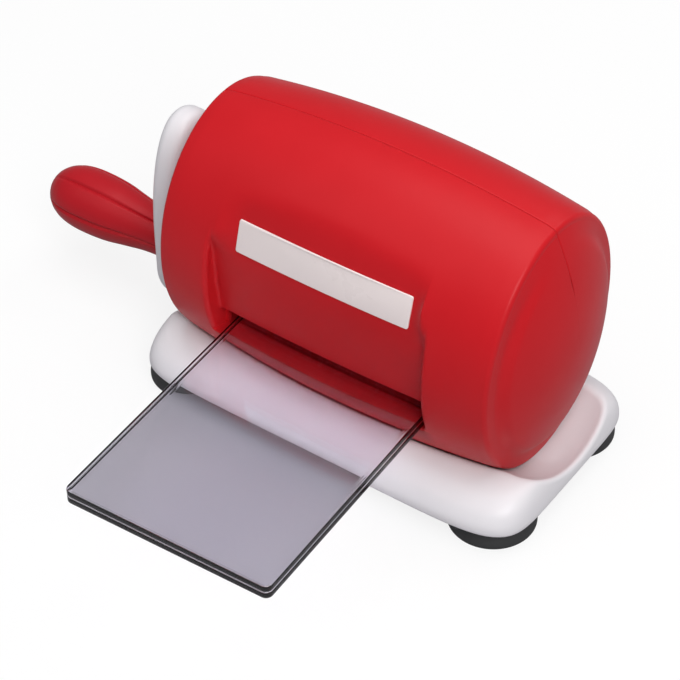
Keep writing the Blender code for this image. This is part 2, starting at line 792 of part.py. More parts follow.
def makeFrames(group, cutters, material):
    """Steel side plates, each with a flange that turns inwards at its foot."""
    for name, end in (("side_frame_left", -1), ("side_frame_right", 1)):
        inner, outer = FRAME_INNER * end, FRAME_OUTER * end
        frame = place(
            prismAlongX(name, frameOutline(), min(inner, outer), max(inner, outer)),
            name,
            group,
            material,
        )
        foot = BASE_FLOOR + GAP
        flange = box(
            name + "_flange",
            ((FRAME_INNER - FRAME_FLANGE_LENGTH) * end, -FRAME_FLANGE_HALF_WIDTH, foot),
            (
                (FRAME_INNER + FRAME_THICKNESS / 2) * end,
                FRAME_FLANGE_HALF_WIDTH,
                foot + FRAME_FLANGE_THICKNESS,
            ),
            cutters,
        )
        boolean(frame, flange, "UNION")
        holes = [(0, z, BUSHING_RADIUS + GAP) for z in (LOWER_AXIS, UPPER_AXIS, CRANK_AXIS)]
        holes += [(y, z, TIE_NECK_RADIUS + GAP) for _, y, z in tiePlaces()]
        for index, (y, z, radius) in enumerate(holes):
            hole = bar(
                f"{name}_hole_{index}",
                ((FRAME_INNER - OVERRUN / 2) * end, y, z),
                ((FRAME_OUTER + OVERRUN / 2) * end, y, z),
                radius,
            )
            boolean(frame, asCutter(place(hole, hole.name, cutters)))
        x = (FRAME_INNER - FRAME_FLANGE_LENGTH / 2) * end
        hole = bar(
            name + "_screw_hole",
            (x, 0, foot - OVERRUN / 4),
            (x, 0, foot + FRAME_FLANGE_THICKNESS + OVERRUN / 4),
            SCREW_RADIUS + GAP,
            SCREW_STEPS,
        )
        boolean(frame, asCutter(place(hole, hole.name, cutters)))


def makeTies(group, material):
    """Shouldered rods whose ends are riveted over outside the frames."""
    shoulder = FRAME_INNER - GAP
    neck = FRAME_OUTER + GAP
    end = neck + TIE_HEAD_THICKNESS
    half = [
        (0, end),
        (TIE_HEAD_RADIUS, end),
        (TIE_HEAD_RADIUS, neck),
        (TIE_NECK_RADIUS, neck),
        (TIE_NECK_RADIUS, shoulder),
        (TIE_RADIUS, shoulder),
    ]
    profile = half + [(radius, -x) for radius, x in reversed(half)]
    for name, y, z in tiePlaces():
        tie = turned(name, profile, group, material, SCREW_STEPS)
        tie.rotation_euler = ACROSS_X.to_euler()
        tie.location = (0, y, z)


def makeBushings(group, material):
    """Flanged bushings pushed into the frames from inside."""
    flangeOuter = FRAME_INNER - GAP
    flangeInner = flangeOuter - BUSHING_FLANGE_THICKNESS
    end = FRAME_OUTER
    flange = BUSHING_RADIUS + BUSHING_FLANGE_WIDTH
    profile = [
        (BORE_RADIUS, end),
        (BUSHING_RADIUS, end),
        (BUSHING_RADIUS, flangeOuter),
        (flange, flangeOuter),
        (flange, flangeInner),
        (BORE_RADIUS, flangeInner),
        (BORE_RADIUS, end),
    ]
    for shaft, z in (("lower", LOWER_AXIS), ("upper", UPPER_AXIS), ("crank", CRANK_AXIS)):
        for side, turn in (("left", -1), ("right", 1)):
            bushing = turned(f"bushing_{shaft}_{side}", profile, group, material, RING_STEPS)
            bushing.rotation_euler = (0, math.radians(90) * turn, 0)
            bushing.location = (0, 0, z)


def makeRings(group, material):
    """Retaining rings: outside the right frame, and outside each roller gear."""
    outer = JOURNAL_RADIUS + GAP + RING_WIDTH
    bore = JOURNAL_RADIUS + GAP
    for name, place_x, z in (
        ("ring_lower_right", RING_PLACE, LOWER_AXIS),
        ("ring_upper_right", RING_PLACE, UPPER_AXIS),
        ("ring_crank_right", RING_PLACE, CRANK_AXIS),
        ("ring_lower_gear", -GEAR_OUTER - GAP - RING_THICKNESS, LOWER_AXIS),
        ("ring_upper_gear", -GEAR_OUTER - GAP - RING_THICKNESS, UPPER_AXIS),
        ("ring_pinion", -GEAR_OUTER - GAP - RING_THICKNESS, CRANK_AXIS),
    ):
        profile = [
            (bore, RING_THICKNESS),
            (outer, RING_THICKNESS),
            (outer, 0),
            (bore, 0),
            (bore, RING_THICKNESS),
        ]
        ring = turned(name, profile, group, material, RING_STEPS)
        ring.rotation_euler = ACROSS_X.to_euler()
        ring.location = (place_x, 0, z)


def makeRollers(group, material):
    """Rollers with their journals, turned in one piece about their own axes."""
    half = ROLLER_LENGTH / 2
    profile = [
        (0, JOURNAL_RIGHT),
        (JOURNAL_RADIUS - JOURNAL_EDGE, JOURNAL_RIGHT),
        (JOURNAL_RADIUS, JOURNAL_RIGHT - JOURNAL_EDGE),
        (JOURNAL_RADIUS, half),
        (ROLLER_RADIUS - ROLLER_EDGE, half),
        (ROLLER_RADIUS, half - ROLLER_EDGE),
        (ROLLER_RADIUS, -half + ROLLER_EDGE),
        (ROLLER_RADIUS - ROLLER_EDGE, -half),
        (JOURNAL_RADIUS, -half),
        (JOURNAL_RADIUS, -JOURNAL_LEFT + JOURNAL_EDGE),
        (JOURNAL_RADIUS - JOURNAL_EDGE, -JOURNAL_LEFT),
        (0, -JOURNAL_LEFT),
    ]
    for name, z in (("roller_lower", LOWER_AXIS), ("roller_upper", UPPER_AXIS)):
        roller = turned(name, profile, group, material)
        roller.rotation_euler = ACROSS_X.to_euler()
        roller.location = (0, 0, z)


def involuteAngle(radius, baseRadius):
    """The angle that an involute has turned by when it reaches a radius."""
    if radius <= baseRadius:
        return 0
    steep = math.acos(baseRadius / radius)
    return math.tan(steep) - steep


def gearOutline(teeth, firstTooth):
    """The edge of a spur gear as (y, z) points, with one tooth centred on firstTooth."""
    pitch = MODULE * teeth / 2
    baseRadius = pitch * math.cos(PRESSURE_ANGLE)
    tip = pitch + MODULE
    root = pitch - MODULE - ROOT_CLEARANCE
    halfTooth = math.radians(90) / teeth - GEAR_BACKLASH / 2 / pitch
    atPitch = involuteAngle(pitch, baseRadius)
    start = max(baseRadius, root)
    flank = []
    for step in range(FLANK_STEPS + 1):
        radius = start + (tip - start) * step / FLANK_STEPS
        flank.append((radius, halfTooth + atPitch - involuteAngle(radius, baseRadius)))
    if root < start:
        flank.insert(0, (root, flank[0][1]))
    points = []
    for tooth in range(teeth):
        middle = firstTooth + math.radians(360) * tooth / teeth
        for radius, angle in flank:
            turn = middle - angle
            points.append((radius * math.cos(turn), radius * math.sin(turn)))
        for radius, angle in reversed(flank):
            turn = middle + angle
            points.append((radius * math.cos(turn), radius * math.sin(turn)))
    return points


def makeGear(name, teeth, firstTooth, z, group, cutters, material):
    """A spur gear about its own axis, bored for its shaft and thinned to a web."""
    low, high = -GEAR_OUTER, -GEAR_INNER
    outline = gearOutline(teeth, firstTooth)
    gear = place(prismAlongX(name, outline, low, high), name, group, material)
    gear.location = (0, 0, z)
    root = MODULE * teeth / 2 - MODULE - ROOT_CLEARANCE
    webOuter = root - MODULE
    bore = bar(name + "_bore", (low - OVERRUN, 0, z), (high + OVERRUN, 0, z), BORE_RADIUS)
    boolean(gear, asCutter(place(bore, bore.name, cutters)))
    if webOuter > GEAR_HUB_RADIUS + MODULE:
        depth = (GEAR_WIDTH - GEAR_WEB_THICKNESS) / 2
        profile = [
            (GEAR_HUB_RADIUS, depth + OVERRUN),
            (webOuter, depth + OVERRUN),
            (webOuter, 0),
            (GEAR_HUB_RADIUS, 0),
            (GEAR_HUB_RADIUS, depth + OVERRUN),
        ]
        pocket = turned(name + "_web", profile, cutters)
        pocket.rotation_euler = (0, math.radians(-90), 0)
        pocket.location = (low + depth, 0, z)
        boolean(gear, asCutter(pocket))


def makeGears(group, cutters, material):
    """Both roller gears and the crank's pinion, in mesh: a tooth of one faces a gap of the next."""
    down, up = math.radians(-90), math.radians(90)
    halfTurn = math.radians(180)
    lowerStart = up + halfTurn / GEAR_TEETH
    pinionStart = down + halfTurn / PINION_TEETH
    makeGear("gear_upper", GEAR_TEETH, down, UPPER_AXIS, group, cutters, material)
    makeGear("gear_lower", GEAR_TEETH, lowerStart, LOWER_AXIS, group, cutters, material)
    makeGear("pinion", PINION_TEETH, pinionStart, CRANK_AXIS, group, cutters, material)


def bedOutline(side):
    """A bed's (y, z) edge: a flat top with a rib below each long edge."""
    drop = MOUTH_FLOOR - BED_THICKNESS - LOWER_AXIS
    inner = math.sqrt(ROLLER_RADIUS**2 - drop**2) + BED_ROLLER_GAP
    low = MOUTH_FLOOR - BED_THICKNESS
    ribLow = MOUTH_FLOOR - BED_RIB_DROP
    ribInner = math.sqrt(ROLLER_RADIUS**2 - (ribLow - LOWER_AXIS) ** 2) + 2 * BED_ROLLER_GAP
    points = (
        (BED_DEPTH, MOUTH_FLOOR),
        (inner, MOUTH_FLOOR),
        (inner, low),
        (ribInner, low),
        (ribInner, ribLow),
        (ribInner + BED_RIB_THICKNESS, ribLow),
        (ribInner + BED_RIB_THICKNESS, low),
        (BED_DEPTH - BED_RIB_THICKNESS, low),
        (BED_DEPTH - BED_RIB_THICKNESS, ribLow),
        (BED_DEPTH, ribLow),
    )
    return [(y * side, z) for y, z in points]


def makeBeds(group, material):
    """Guide beds that carry the plates from each mouth to the lower roller."""
    half = FRAME_INNER - GAP
    for name, side in (("guide_bed_front", -1), ("guide_bed_rear", 1)):
        place(prismAlongX(name, bedOutline(side), -half, half), name, group, material)


def makePlates(group, material):
    """Two clear plates, one on the other, a little askew in the mouth."""
    stack = bpy.data.objects.new("plate_stack", None)
    group.objects.link(stack)
    stack.rotation_euler = (0, 0, PLATE_YAW)
    for name, underside in (
        ("plate_lower", PLATE_UNDERSIDE),
        ("plate_upper", PLATE_UNDERSIDE + PLATE_THICKNESS + GAP),
    ):
        half = PLATE_WIDTH / 2
        low = (-half, -PLATE_FRONT, 0)
        high = (half, PLATE_LENGTH - PLATE_FRONT, PLATE_THICKNESS)
        builder = bmesh.new()
        builder.from_mesh(boxMesh(name, low, high))
        upright = [edge for edge in builder.edges if edge.verts[0].co.xy == edge.verts[1].co.xy]
        bmesh.ops.bevel(
            builder,
            geom=upright,
            offset=PLATE_CORNER,
            segments=4,
            affect="EDGES",
            profile=0.5,
        )
        plate = place(meshFrom(builder, name), name, group, material)
        edge = plate.modifiers.new("edge", "BEVEL")
        edge.width = PLATE_EDGE
        edge.segments = 1
        edge.limit_method = "ANGLE"
        edge.angle_limit = math.radians(60)
        plate.location = (0, 0, underside)
        plate.parent = stack


def armOutline():
    """The arm's (y, z) edge: a round lower end and a taller, squarer top."""
    points = []
    for step in range(ARM_BOTTOM_STEPS + 1):
        angle = math.radians(180) * (1 + step / ARM_BOTTOM_STEPS)
        y = ARM_HALF_WIDTH * math.cos(angle)
        points.append((y, GRIP_AXIS + ARM_HALF_WIDTH * math.sin(angle)))
    rise = ARM_TOP - ARM_SHOULDER
    power = 2 / ARM_TOP_SQUARENESS
    for step in range(ARM_TOP_STEPS + 1):
        angle = math.radians(180) * step / ARM_TOP_STEPS
        cosine, sine = math.cos(angle), max(0, math.sin(angle))
        y = ARM_HALF_WIDTH * math.copysign(abs(cosine) ** power, cosine)
        points.append((y, ARM_SHOULDER + rise * sine**power))
    return points


def makeArm(group, cutters, material):
    """The crank arm with a boss towards the barrel, bored for the shaft and for the grip's pin."""
    slab = prismAlongX("crank_arm", armOutline(), -ARM_OUTER, -ARM_INNER)
    arm = place(slab, "crank_arm", group, material)
    edge = arm.modifiers.new("edge", "BEVEL")
    edge.width = ARM_EDGE
    edge.segments = ARM_EDGE_STEPS
    edge.limit_method = "ANGLE"
    edge.angle_limit = math.radians(60)
    arm = baked(arm, group)
    arm.data.transform(Matrix.Translation((0, 0, -CRANK_AXIS)))
    arm.location = (0, 0, CRANK_AXIS)
    bossStart = -(ARM_INNER + ARM_OUTER) / 2
    bossEnd = -(BARREL_HALF_LENGTH - GROOVE_DEPTH + END_DOME + GAP)
    recess = -ARM_OUTER + HUB_RECESS_DEPTH
    boss = bar("arm_boss", (bossStart, 0, CRANK_AXIS), (bossEnd, 0, CRANK_AXIS), ARM_BOSS_RADIUS)
    boolean(arm, asCutter(place(boss, boss.name, cutters)), "UNION")
    for name, start, end, height, radius in (
        ("arm_bore", bossEnd + OVERRUN, recess, CRANK_AXIS, BORE_RADIUS),
        ("arm_recess", -ARM_OUTER - OVERRUN, recess + GAP, CRANK_AXIS, HUB_SCREW_HEAD_RADIUS + GAP),
        ("arm_pin_hole", -ARM_OUTER - OVERRUN, -ARM_INNER + OVERRUN, GRIP_AXIS, PIN_RADIUS + GAP),
    ):
        cut = bar(name, (start, 0, height), (end, 0, height), radius)
        boolean(arm, asCutter(place(cut, cut.name, cutters)))


def alongGrip(item, reach):
    """Lays a piece made along +Z on the grip's axis, from a reach past the arm outwards."""
    item.rotation_euler = (0, math.radians(-90), 0)
    item.location = (-ARM_OUTER - reach, 0, GRIP_AXIS)


def makeShaft(group, cutters, material):
    """The crank shaft, from the right frame out through the barrel's end into the arm."""
    far = ARM_OUTER - HUB_RECESS_DEPTH - SHAFT_END_INSET
    profile = [
        (0, JOURNAL_RIGHT),
        (JOURNAL_RADIUS - JOURNAL_EDGE, JOURNAL_RIGHT),
        (JOURNAL_RADIUS, JOURNAL_RIGHT - JOURNAL_EDGE),
        (JOURNAL_RADIUS, -far + JOURNAL_EDGE),
        (JOURNAL_RADIUS - JOURNAL_EDGE, -far),
        (0, -far),
    ]
    shaft = turned("crank_shaft", profile, group, material)
    shaft.rotation_euler = ACROSS_X.to_euler()
    shaft.location = (0, 0, CRANK_AXIS)
    reach = far - HUB_SCREW_REACH + HUB_RECESS_DEPTH
    hole = bar(
        "shaft_screw_hole",
        (-far - OVERRUN, 0, CRANK_AXIS),
        (-reach + GAP, 0, CRANK_AXIS),
        HUB_SCREW_RADIUS + GAP,
        SCREW_STEPS,
    )
    boolean(shaft, asCutter(place(hole, hole.name, cutters)))


def makeHubScrew(group, material):
    """The screw that holds the arm on the shaft, its head sunk in the arm's outer face."""
    under = ARM_OUTER - HUB_RECESS_DEPTH + GAP
    head = under + HUB_SCREW_HEAD_HEIGHT
    tip = ARM_OUTER - HUB_SCREW_REACH
    profile = [
        (0, head),
        (HUB_SCREW_HEAD_RADIUS - SCREW_EDGE, head),
        (HUB_SCREW_HEAD_RADIUS, head - SCREW_EDGE),
        (HUB_SCREW_HEAD_RADIUS, under),
        (HUB_SCREW_RADIUS, under),
        (HUB_SCREW_RADIUS, tip),
        (0, tip),
    ]
    screw = turned("hub_screw", profile, group, material)
    screw.rotation_euler = (0, math.radians(-90), 0)
    screw.location = (0, 0, CRANK_AXIS)


def makePin(group, material):
    """The grip's pin, headed on the arm's inner face."""
    back = -ARM_THICKNESS - GAP - 2 * PIN_EDGE
    profile = [
        (0, PIN_GRIP_REACH),
        (PIN_RADIUS - PIN_EDGE, PIN_GRIP_REACH),
        (PIN_RADIUS, PIN_GRIP_REACH - PIN_EDGE),
        (PIN_RADIUS, back),
        (PIN_HEAD_RADIUS, back),
        (PIN_HEAD_RADIUS, back - PIN_HEAD_THICKNESS + PIN_EDGE),
        (PIN_HEAD_RADIUS - PIN_EDGE, back - PIN_HEAD_THICKNESS),
        (0, back - PIN_HEAD_THICKNESS),
    ]
    alongGrip(turned("grip_pin", profile, group, material), 0)


def makeGrip(group, cutters, material):
    """A teardrop grip with shallow flutes along it, bored for its pin."""
    pitch = math.radians(360) / GRIP_FLUTES
    places = [(flute, share) for flute in range(GRIP_FLUTES) for share in GRIP_PITCH_SHARES]
    rings = []
    for along, wide, deep in GRIP_SHARES:
        ring = []
        for flute, share in places:
            angle = GRIP_ROLL + pitch * (flute + share)
            groove = 0 if share else GRIP_FLUTE_DEPTH * deep
            radius = GRIP_RADIUS * wide - groove
            x, y = radius * math.cos(angle), radius * math.sin(angle)
            ring.append(Vector((x, y, GRIP_LENGTH * along)))
        rings.append(ring)
    grip = place(loft("grip", rings), "grip", group, material)
    alongGrip(grip, GRIP_STANDOFF)
    start = -ARM_OUTER - GRIP_STANDOFF + OVERRUN
    end = -ARM_OUTER - PIN_GRIP_REACH - GAP
    hole = bar("grip_bore", (start, 0, GRIP_AXIS), (end, 0, GRIP_AXIS), PIN_RADIUS + GAP)
    boolean(grip, asCutter(place(hole, hole.name, cutters)))


def main():
    clearScene()
    parts = newCollection("die_cutting_machine")
    cutters = newCollection("cutters", hidden=True)
    red = newMaterial("red_plastic", (0.50, 0.010, 0.016), 0.42)
    gripRed = newMaterial("grip_red_plastic", (0.40, 0.010, 0.014), 0.36)
    white = newMaterial("white_plastic", (0.76, 0.73, 0.77), 0.38)
    labelWhite = newMaterial("label_white", (0.86, 0.83, 0.80), 0.30)
    clear = newMaterial("clear_plastic", (0.82, 0.82, 0.88), 0.05, alpha=0.3)
    rubber = newMaterial("black_rubber", (0.03, 0.03, 0.03), 0.60)
    steel = newMaterial("steel", (0.55, 0.55, 0.56), 0.32, metallic=1.0)
    plated = newMaterial("plated_steel", (0.48, 0.48, 0.49), 0.40, metallic=1.0)
    bronze = newMaterial("bronze", (0.50, 0.34, 0.16), 0.42, metallic=1.0)
    grey = newMaterial("grey_plastic", (0.16, 0.16, 0.17), 0.50)

    makeBase(parts, cutters, white)
    makeFeet(parts, rubber)
    makeScrews(parts, plated)
    coverHalf("cover_front", -1, parts, cutters, red)
    coverHalf("cover_rear", 1, parts, cutters, red)
    makeLabel(parts, labelWhite)
    makeFrames(parts, cutters, plated)
    makeTies(parts, steel)
    makeBushings(parts, bronze)
    makeRollers(parts, steel)
    makeGears(parts, cutters, grey)
    makeRings(parts, plated)
    makeBeds(parts, red)
    makePlates(parts, clear)
    makeShaft(parts, cutters, steel)
    makeArm(parts, cutters, white)
    makeHubScrew(parts, plated)
    makePin(parts, steel)
    makeGrip(parts, cutters, gripRed)


main()
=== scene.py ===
# Die cutting machine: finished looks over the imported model.
# Everything is in metres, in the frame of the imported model: X along the rollers, -Y out of the
# front mouth, +Z up, the table top at the soles of the feet.
import json
import math
from contextlib import contextmanager
from itertools import accumulate

import bmesh
import bpy
from mathutils import Matrix, Vector


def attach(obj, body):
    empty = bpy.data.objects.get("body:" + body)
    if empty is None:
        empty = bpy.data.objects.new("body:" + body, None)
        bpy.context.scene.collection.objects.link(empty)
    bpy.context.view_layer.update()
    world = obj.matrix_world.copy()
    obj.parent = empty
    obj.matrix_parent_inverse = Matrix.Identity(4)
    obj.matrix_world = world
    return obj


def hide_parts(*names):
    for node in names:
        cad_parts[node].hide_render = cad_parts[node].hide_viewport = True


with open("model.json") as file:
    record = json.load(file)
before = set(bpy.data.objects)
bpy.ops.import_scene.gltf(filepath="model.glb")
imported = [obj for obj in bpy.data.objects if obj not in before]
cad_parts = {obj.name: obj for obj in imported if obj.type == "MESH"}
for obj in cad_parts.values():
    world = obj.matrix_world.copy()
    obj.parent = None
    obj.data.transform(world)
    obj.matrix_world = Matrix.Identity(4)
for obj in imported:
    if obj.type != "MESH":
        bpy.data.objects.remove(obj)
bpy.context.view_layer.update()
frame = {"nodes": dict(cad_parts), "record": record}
mm = 0.001
quarterTurn = math.radians(90)
mergeDistance = 0.000002
barSegments = 56
print("frame loaded:", len(frame["nodes"]), "nodes")


# Helpers
def inMm(value):
    # lengths that are written in millimetres, in metres
    if isinstance(value, dict):
        return {key: inMm(length) for key, length in value.items()}
    return tuple(map(inMm, value)) if isinstance(value, tuple) else value * mm


def configured(thing, **settings):
    for key, value in settings.items():
        setattr(thing, key, value)
    return thing


def placed(name, data):
    item = bpy.data.objects.new(name, data)
    bpy.context.scene.collection.objects.link(item)
    return item


@contextmanager
def editing(mesh):
    builder = bmesh.new()
    builder.from_mesh(mesh)
    yield builder
    builder.to_mesh(mesh)
    builder.free()


def smoothStep(low, high, value):
    share = min(1, max(0, (value - low) / (high - low)))
    return share * share * (3 - 2 * share)


def lerp(a, b, share):
    return a + (b - a) * share


def smoothTable(table, at, column):
    # a smooth curve through one column of a table, by the values in its first column
    last = len(table) - 1
    index = 0
    while index < last - 1 and table[index + 1][0] <= at:
        index += 1
    start, end = table[index], table[index + 1]
    width = end[0] - start[0]
    share = min(1, max(0, (at - start[0]) / width))

    def slope(i):
        before, after = table[max(0, i - 1)], table[min(last, i + 1)]
        return (after[column] - before[column]) / (after[0] - before[0])

    first, second = slope(index) * width, slope(index + 1) * width
    square, cube = share**2, share**3
    return ((2 * cube - 3 * square + 1) * start[column] + (cube - 2 * square + share) * first
            + (3 * square - 2 * cube) * end[column] + (cube - square) * second)


def shade(mesh, angle):
    mesh.shade_smooth()
    mesh.set_sharp_from_angle(angle=math.radians(angle))


def meshObject(name, points, faces, slot, angle):
    mesh = bpy.data.meshes.new(name)
    mesh.from_pydata([tuple(point) for point in points], [], faces)
    return finishMesh(name, mesh, slot, angle)


def finishMesh(name, mesh, slot, angle):
    # merged, turned outwards and shaded smooth but for its edges
    with editing(mesh) as builder:
        bmesh.ops.remove_doubles(builder, verts=builder.verts, dist=mergeDistance)
        bmesh.ops.dissolve_degenerate(builder, edges=builder.edges, dist=mergeDistance / 2)
        bmesh.ops.recalc_face_normals(builder, faces=builder.faces)
    mesh.materials.clear()
    mesh.materials.append(finishes[slot])
    shade(mesh, angle)
    return placed(name, mesh)


def gridFaces(rows, columns, holes=(), wrap=False):
    # quads between the points of a grid, but for the cells in holes
    faces = []
    for row in range(rows - 1):
        for column in range(columns if wrap else columns - 1):
            if (row, column) in holes:
                continue
            after = (column + 1) % columns
            a, b = row * columns + column, row * columns + after
            faces.append((a, b, b + columns, a + columns))
    return faces


def tubeObject(name, rings, slot, angle):
    # rings of points joined into a tube that is closed at both ends
    count = len(rings[0])
    faces = gridFaces(len(rings), count, wrap=True)
    faces += [tuple(range(count)), tuple(range((len(rings) - 1) * count, len(rings) * count))]
    return meshObject(name, [point for ring in rings for point in ring], faces, slot, angle)


def roundedOutline(halfWidth, halfLength, corner, steps, between=0):
    # a rectangle with round corners, and points between them along the edges across
    outline = []
    for index, (sideX, sideY) in enumerate(((1, 1), (-1, 1), (-1, -1), (1, -1))):
        for step in range(steps + 1):
            angle = quarterTurn * (index + step / steps)
            outline.append((sideX * (halfWidth - corner) + corner * math.cos(angle),
                            sideY * (halfLength - corner) + corner * math.sin(angle)))
        if index in (0, 2):
            for step in range(1, between):
                across = lerp(halfWidth - corner, corner - halfWidth, step / between)
                outline.append((across * sideX, sideY * halfLength))
    return outline


def arc(radius, steps, first=0):
    # a fillet's points, by their distances from the two faces that it joins
    angles = [quarterTurn * step / steps for step in range(first, steps + 1)]
    return [(radius * (1 - math.sin(angle)), radius * (1 - math.cos(angle))) for angle in angles]


def applied(item):
    # the object's evaluated mesh in place of its modifiers
    bpy.context.view_layer.update()
    graph = bpy.context.evaluated_depsgraph_get()
    mesh = bpy.data.meshes.new_from_object(item.evaluated_get(graph))
    item.modifiers.clear()
    old = item.data
    item.data = mesh
    bpy.data.meshes.remove(old)
    mesh.name = item.name
    return item


def combined(item, start, end, radius, operation):
    # the object with a round bar between two points added to it or cut out of it
    line = Vector(end) - Vector(start)
    turn = Vector((0, 0, 1)).rotation_difference(line).to_matrix().to_4x4()
    middle = Matrix.Translation((Vector(start) + Vector(end)) / 2)
    mesh = bpy.data.meshes.new("bar")
    with editing(mesh) as builder:
        bmesh.ops.create_cone(builder, cap_ends=True, segments=barSegments, radius1=radius,
                              radius2=radius, depth=line.length)
        bmesh.ops.transform(builder, matrix=middle @ turn, verts=builder.verts)
    bar = placed("bar", mesh)
    change = item.modifiers.new("change", "BOOLEAN")
    configured(change, operation=operation, solver="EXACT", object=bar)
    applied(item)
    bpy.data.objects.remove(bar)


def dressed(item, body, slot, *nodes):
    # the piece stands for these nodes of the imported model
    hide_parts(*nodes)
    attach(item, body)


# Nodes of shader and geometry trees
def setInputs(node, values):
    # a socket is linked, anything else is set
    for key, value in values.items():
        if isinstance(value, bpy.types.NodeSocket):
            node.id_data.links.new(value, node.inputs[key])
        else:
            node.inputs[key].default_value = value
    return node


def addNode(tree, kind, values=None, **settings):
    return setInputs(configured(tree.nodes.new(kind), **settings), values or {})


def flow(tree, kind, values=None, **settings):
    # a new node's first output
    return addNode(tree, kind, values, **settings).outputs[0]


def compute(operation, first, second=0.0):
    tree = (first if isinstance(first, bpy.types.NodeSocket) else second).id_data
    return flow(tree, "ShaderNodeMath", {0: first, 1: second}, operation=operation)


def plus(first, second):
    return compute("ADD", first, second)


def minus(first, second):
    return compute("SUBTRACT", first, second)


def times(first, second):
    return compute("MULTIPLY", first, second)


def divide(first, second):
    return compute("DIVIDE", first, second)


def objectPlace(tree):
    return addNode(tree, "ShaderNodeTexCoord").outputs["Object"]


def noise(tree, place, scale, detail, roughness=0.5):
    values = {"Vector": place, "Scale": scale, "Detail": detail, "Roughness": roughness}
    return flow(tree, "ShaderNodeTexNoise", values)


def addRange(source, low, high, start=0.3, end=0.7):
    values = {"Value": source, "From Min": start, "From Max": end, "To Min": low, "To Max": high}
    return flow(source.id_data, "ShaderNodeMapRange", values)


def mixed(tree, part, first, second):
    # two shaders mixed by a share or chosen by a ray's kind
    if isinstance(part, str):
        part = addNode(tree, "ShaderNodeLightPath").outputs[part]
    return flow(tree, "ShaderNodeMixShader", {0: part, 1: first, 2: second})


# Node groups and materials
def newGroup(name, inputs, outputs):
    # a group with these numbers as its inputs, and its two ends
    group = bpy.data.node_groups.new(name, "ShaderNodeTree")
    number = {"socket_type": "NodeSocketFloat"}
    for label, value in inputs.items():
        group.interface.new_socket(name=label, in_out="INPUT", **number).default_value = value
    for label in outputs:
        group.interface.new_socket(name=label, in_out="OUTPUT", **number)
    return group, group.nodes.new("NodeGroupInput").outputs, group.nodes.new("NodeGroupOutput")


def makeMouldGrain():
    # the fine sparked grain of a moulding tool, with a slow unevenness under it
    group, given, leave = newGroup("mouldGrain", {"Grain Size": 0.0005, "Slow Share": 0.25},
                                   ("Height", "Shade"))
    place, perMetre = objectPlace(group), divide(1.0, given["Grain Size"])
    cells = flow(group, "ShaderNodeTexVoronoi", {"Vector": place, "Scale": perMetre},
                 feature="SMOOTH_F1")
    slow = noise(group, place, 55.0, 2.0)
    grain = plus(times(noise(group, place, perMetre, 3.0, 0.6), 0.6),
                 times(cells, 0.4))
    setInputs(leave, {"Height": plus(grain, times(slow, given["Slow Share"])), "Shade": slow})
    return group


def makeHandling():
    # soft cloudy patches where hands and packing have rubbed, and a few hair scratches
    group, given, leave = newGroup("handling", {"Patch Size": 0.02, "Scratches": 0.3}, ("Rub",))
    place = objectPlace(group)
    cloud = noise(group, place, divide(1.0, given["Patch Size"]), 4.0, 0.55)
    stretch = flow(group, "ShaderNodeMapping", {
        "Vector": place, "Scale": (60.0, 900.0, 500.0), "Rotation": (0.3, 0.5, 0.4)})
    hair = addRange(noise(group, stretch, 1.0, 1.0), 0.0, 1.0, 0.68, 0.78)
    setInputs(leave, {"Rub": plus(cloud, times(hair, given["Scratches"]))})
    return group


def makeBrushed():
    # fine rings round an X axis: the marks of a lathe or a grinding wheel
    group, given, leave = newGroup("brushed", {"Line Size": 0.0004}, ("Line",))
    stretch = flow(group, "ShaderNodeMapping",
                   {"Vector": objectPlace(group), "Scale": (1.0, 0.03, 0.03)})
    setInputs(leave, {"Line": noise(group, stretch, divide(1.0, given["Line Size"]), 2.0)})
    return group


mouldGrain, handling, brushed = makeMouldGrain(), makeHandling(), makeBrushed()


def grouped(tree, group, values):
    return addNode(tree, "ShaderNodeGroup", values, node_tree=group).outputs


def baseMaterial(name, colour, metallic=0.0):
    material = bpy.data.materials.new(name)
    material.use_nodes = True
    shader = material.node_tree.nodes["Principled BSDF"]
    setInputs(shader, {"Base Color": (*colour, 1), "Metallic": metallic})
    return material, material.node_tree, shader


def mixedColour(tree, part, first, second, blend="MIX"):
    values = {"Factor": part, "A": first, "B": second}
    mix = addNode(tree, "ShaderNodeMix", data_type="RGBA", blend_type=blend)
    return setInputs(mix, values).outputs["Result"]


def grained(shader, tint, dark, light, gloss, low, high, height, strength, depth):
    # two close colours, an uneven gloss and a bump
    tree = shader.id_data
    bump = flow(tree, "ShaderNodeBump", {"Height": height, "Strength": strength, "Distance": depth})
    setInputs(shader, {"Base Color": mixedColour(tree, tint, (*dark, 1), (*light, 1)),
                       "Roughness": addRange(gloss, low, high), "Normal": bump})


def mouldedPlastic(name, dark, light, size, patch, scratches, gloss, strength, specular):
    # grained plastic, with the tool's grain as bump
    material, tree, shader = baseMaterial(name, light)
    grain = grouped(tree, mouldGrain, {"Grain Size": size})
    rub = grouped(tree, handling, {"Patch Size": patch, "Scratches": scratches})["Rub"]
    grained(shader, grain["Shade"], dark, light, rub, *gloss, grain["Height"], strength, size * 0.3)
    setInputs(shader, {"Specular IOR Level": specular})
    return material


def turnedMetal(name, dark, light, size, patch, gloss, strength):
    material, tree, shader = baseMaterial(name, light, 1.0)
    line = grouped(tree, brushed, {"Line Size": size})["Line"]
    rub = grouped(tree, handling, {"Patch Size": patch, "Scratches": 0.5})["Rub"]
    grained(shader, rub, dark, light, line, *gloss, line, strength, size * 0.2)
    return material


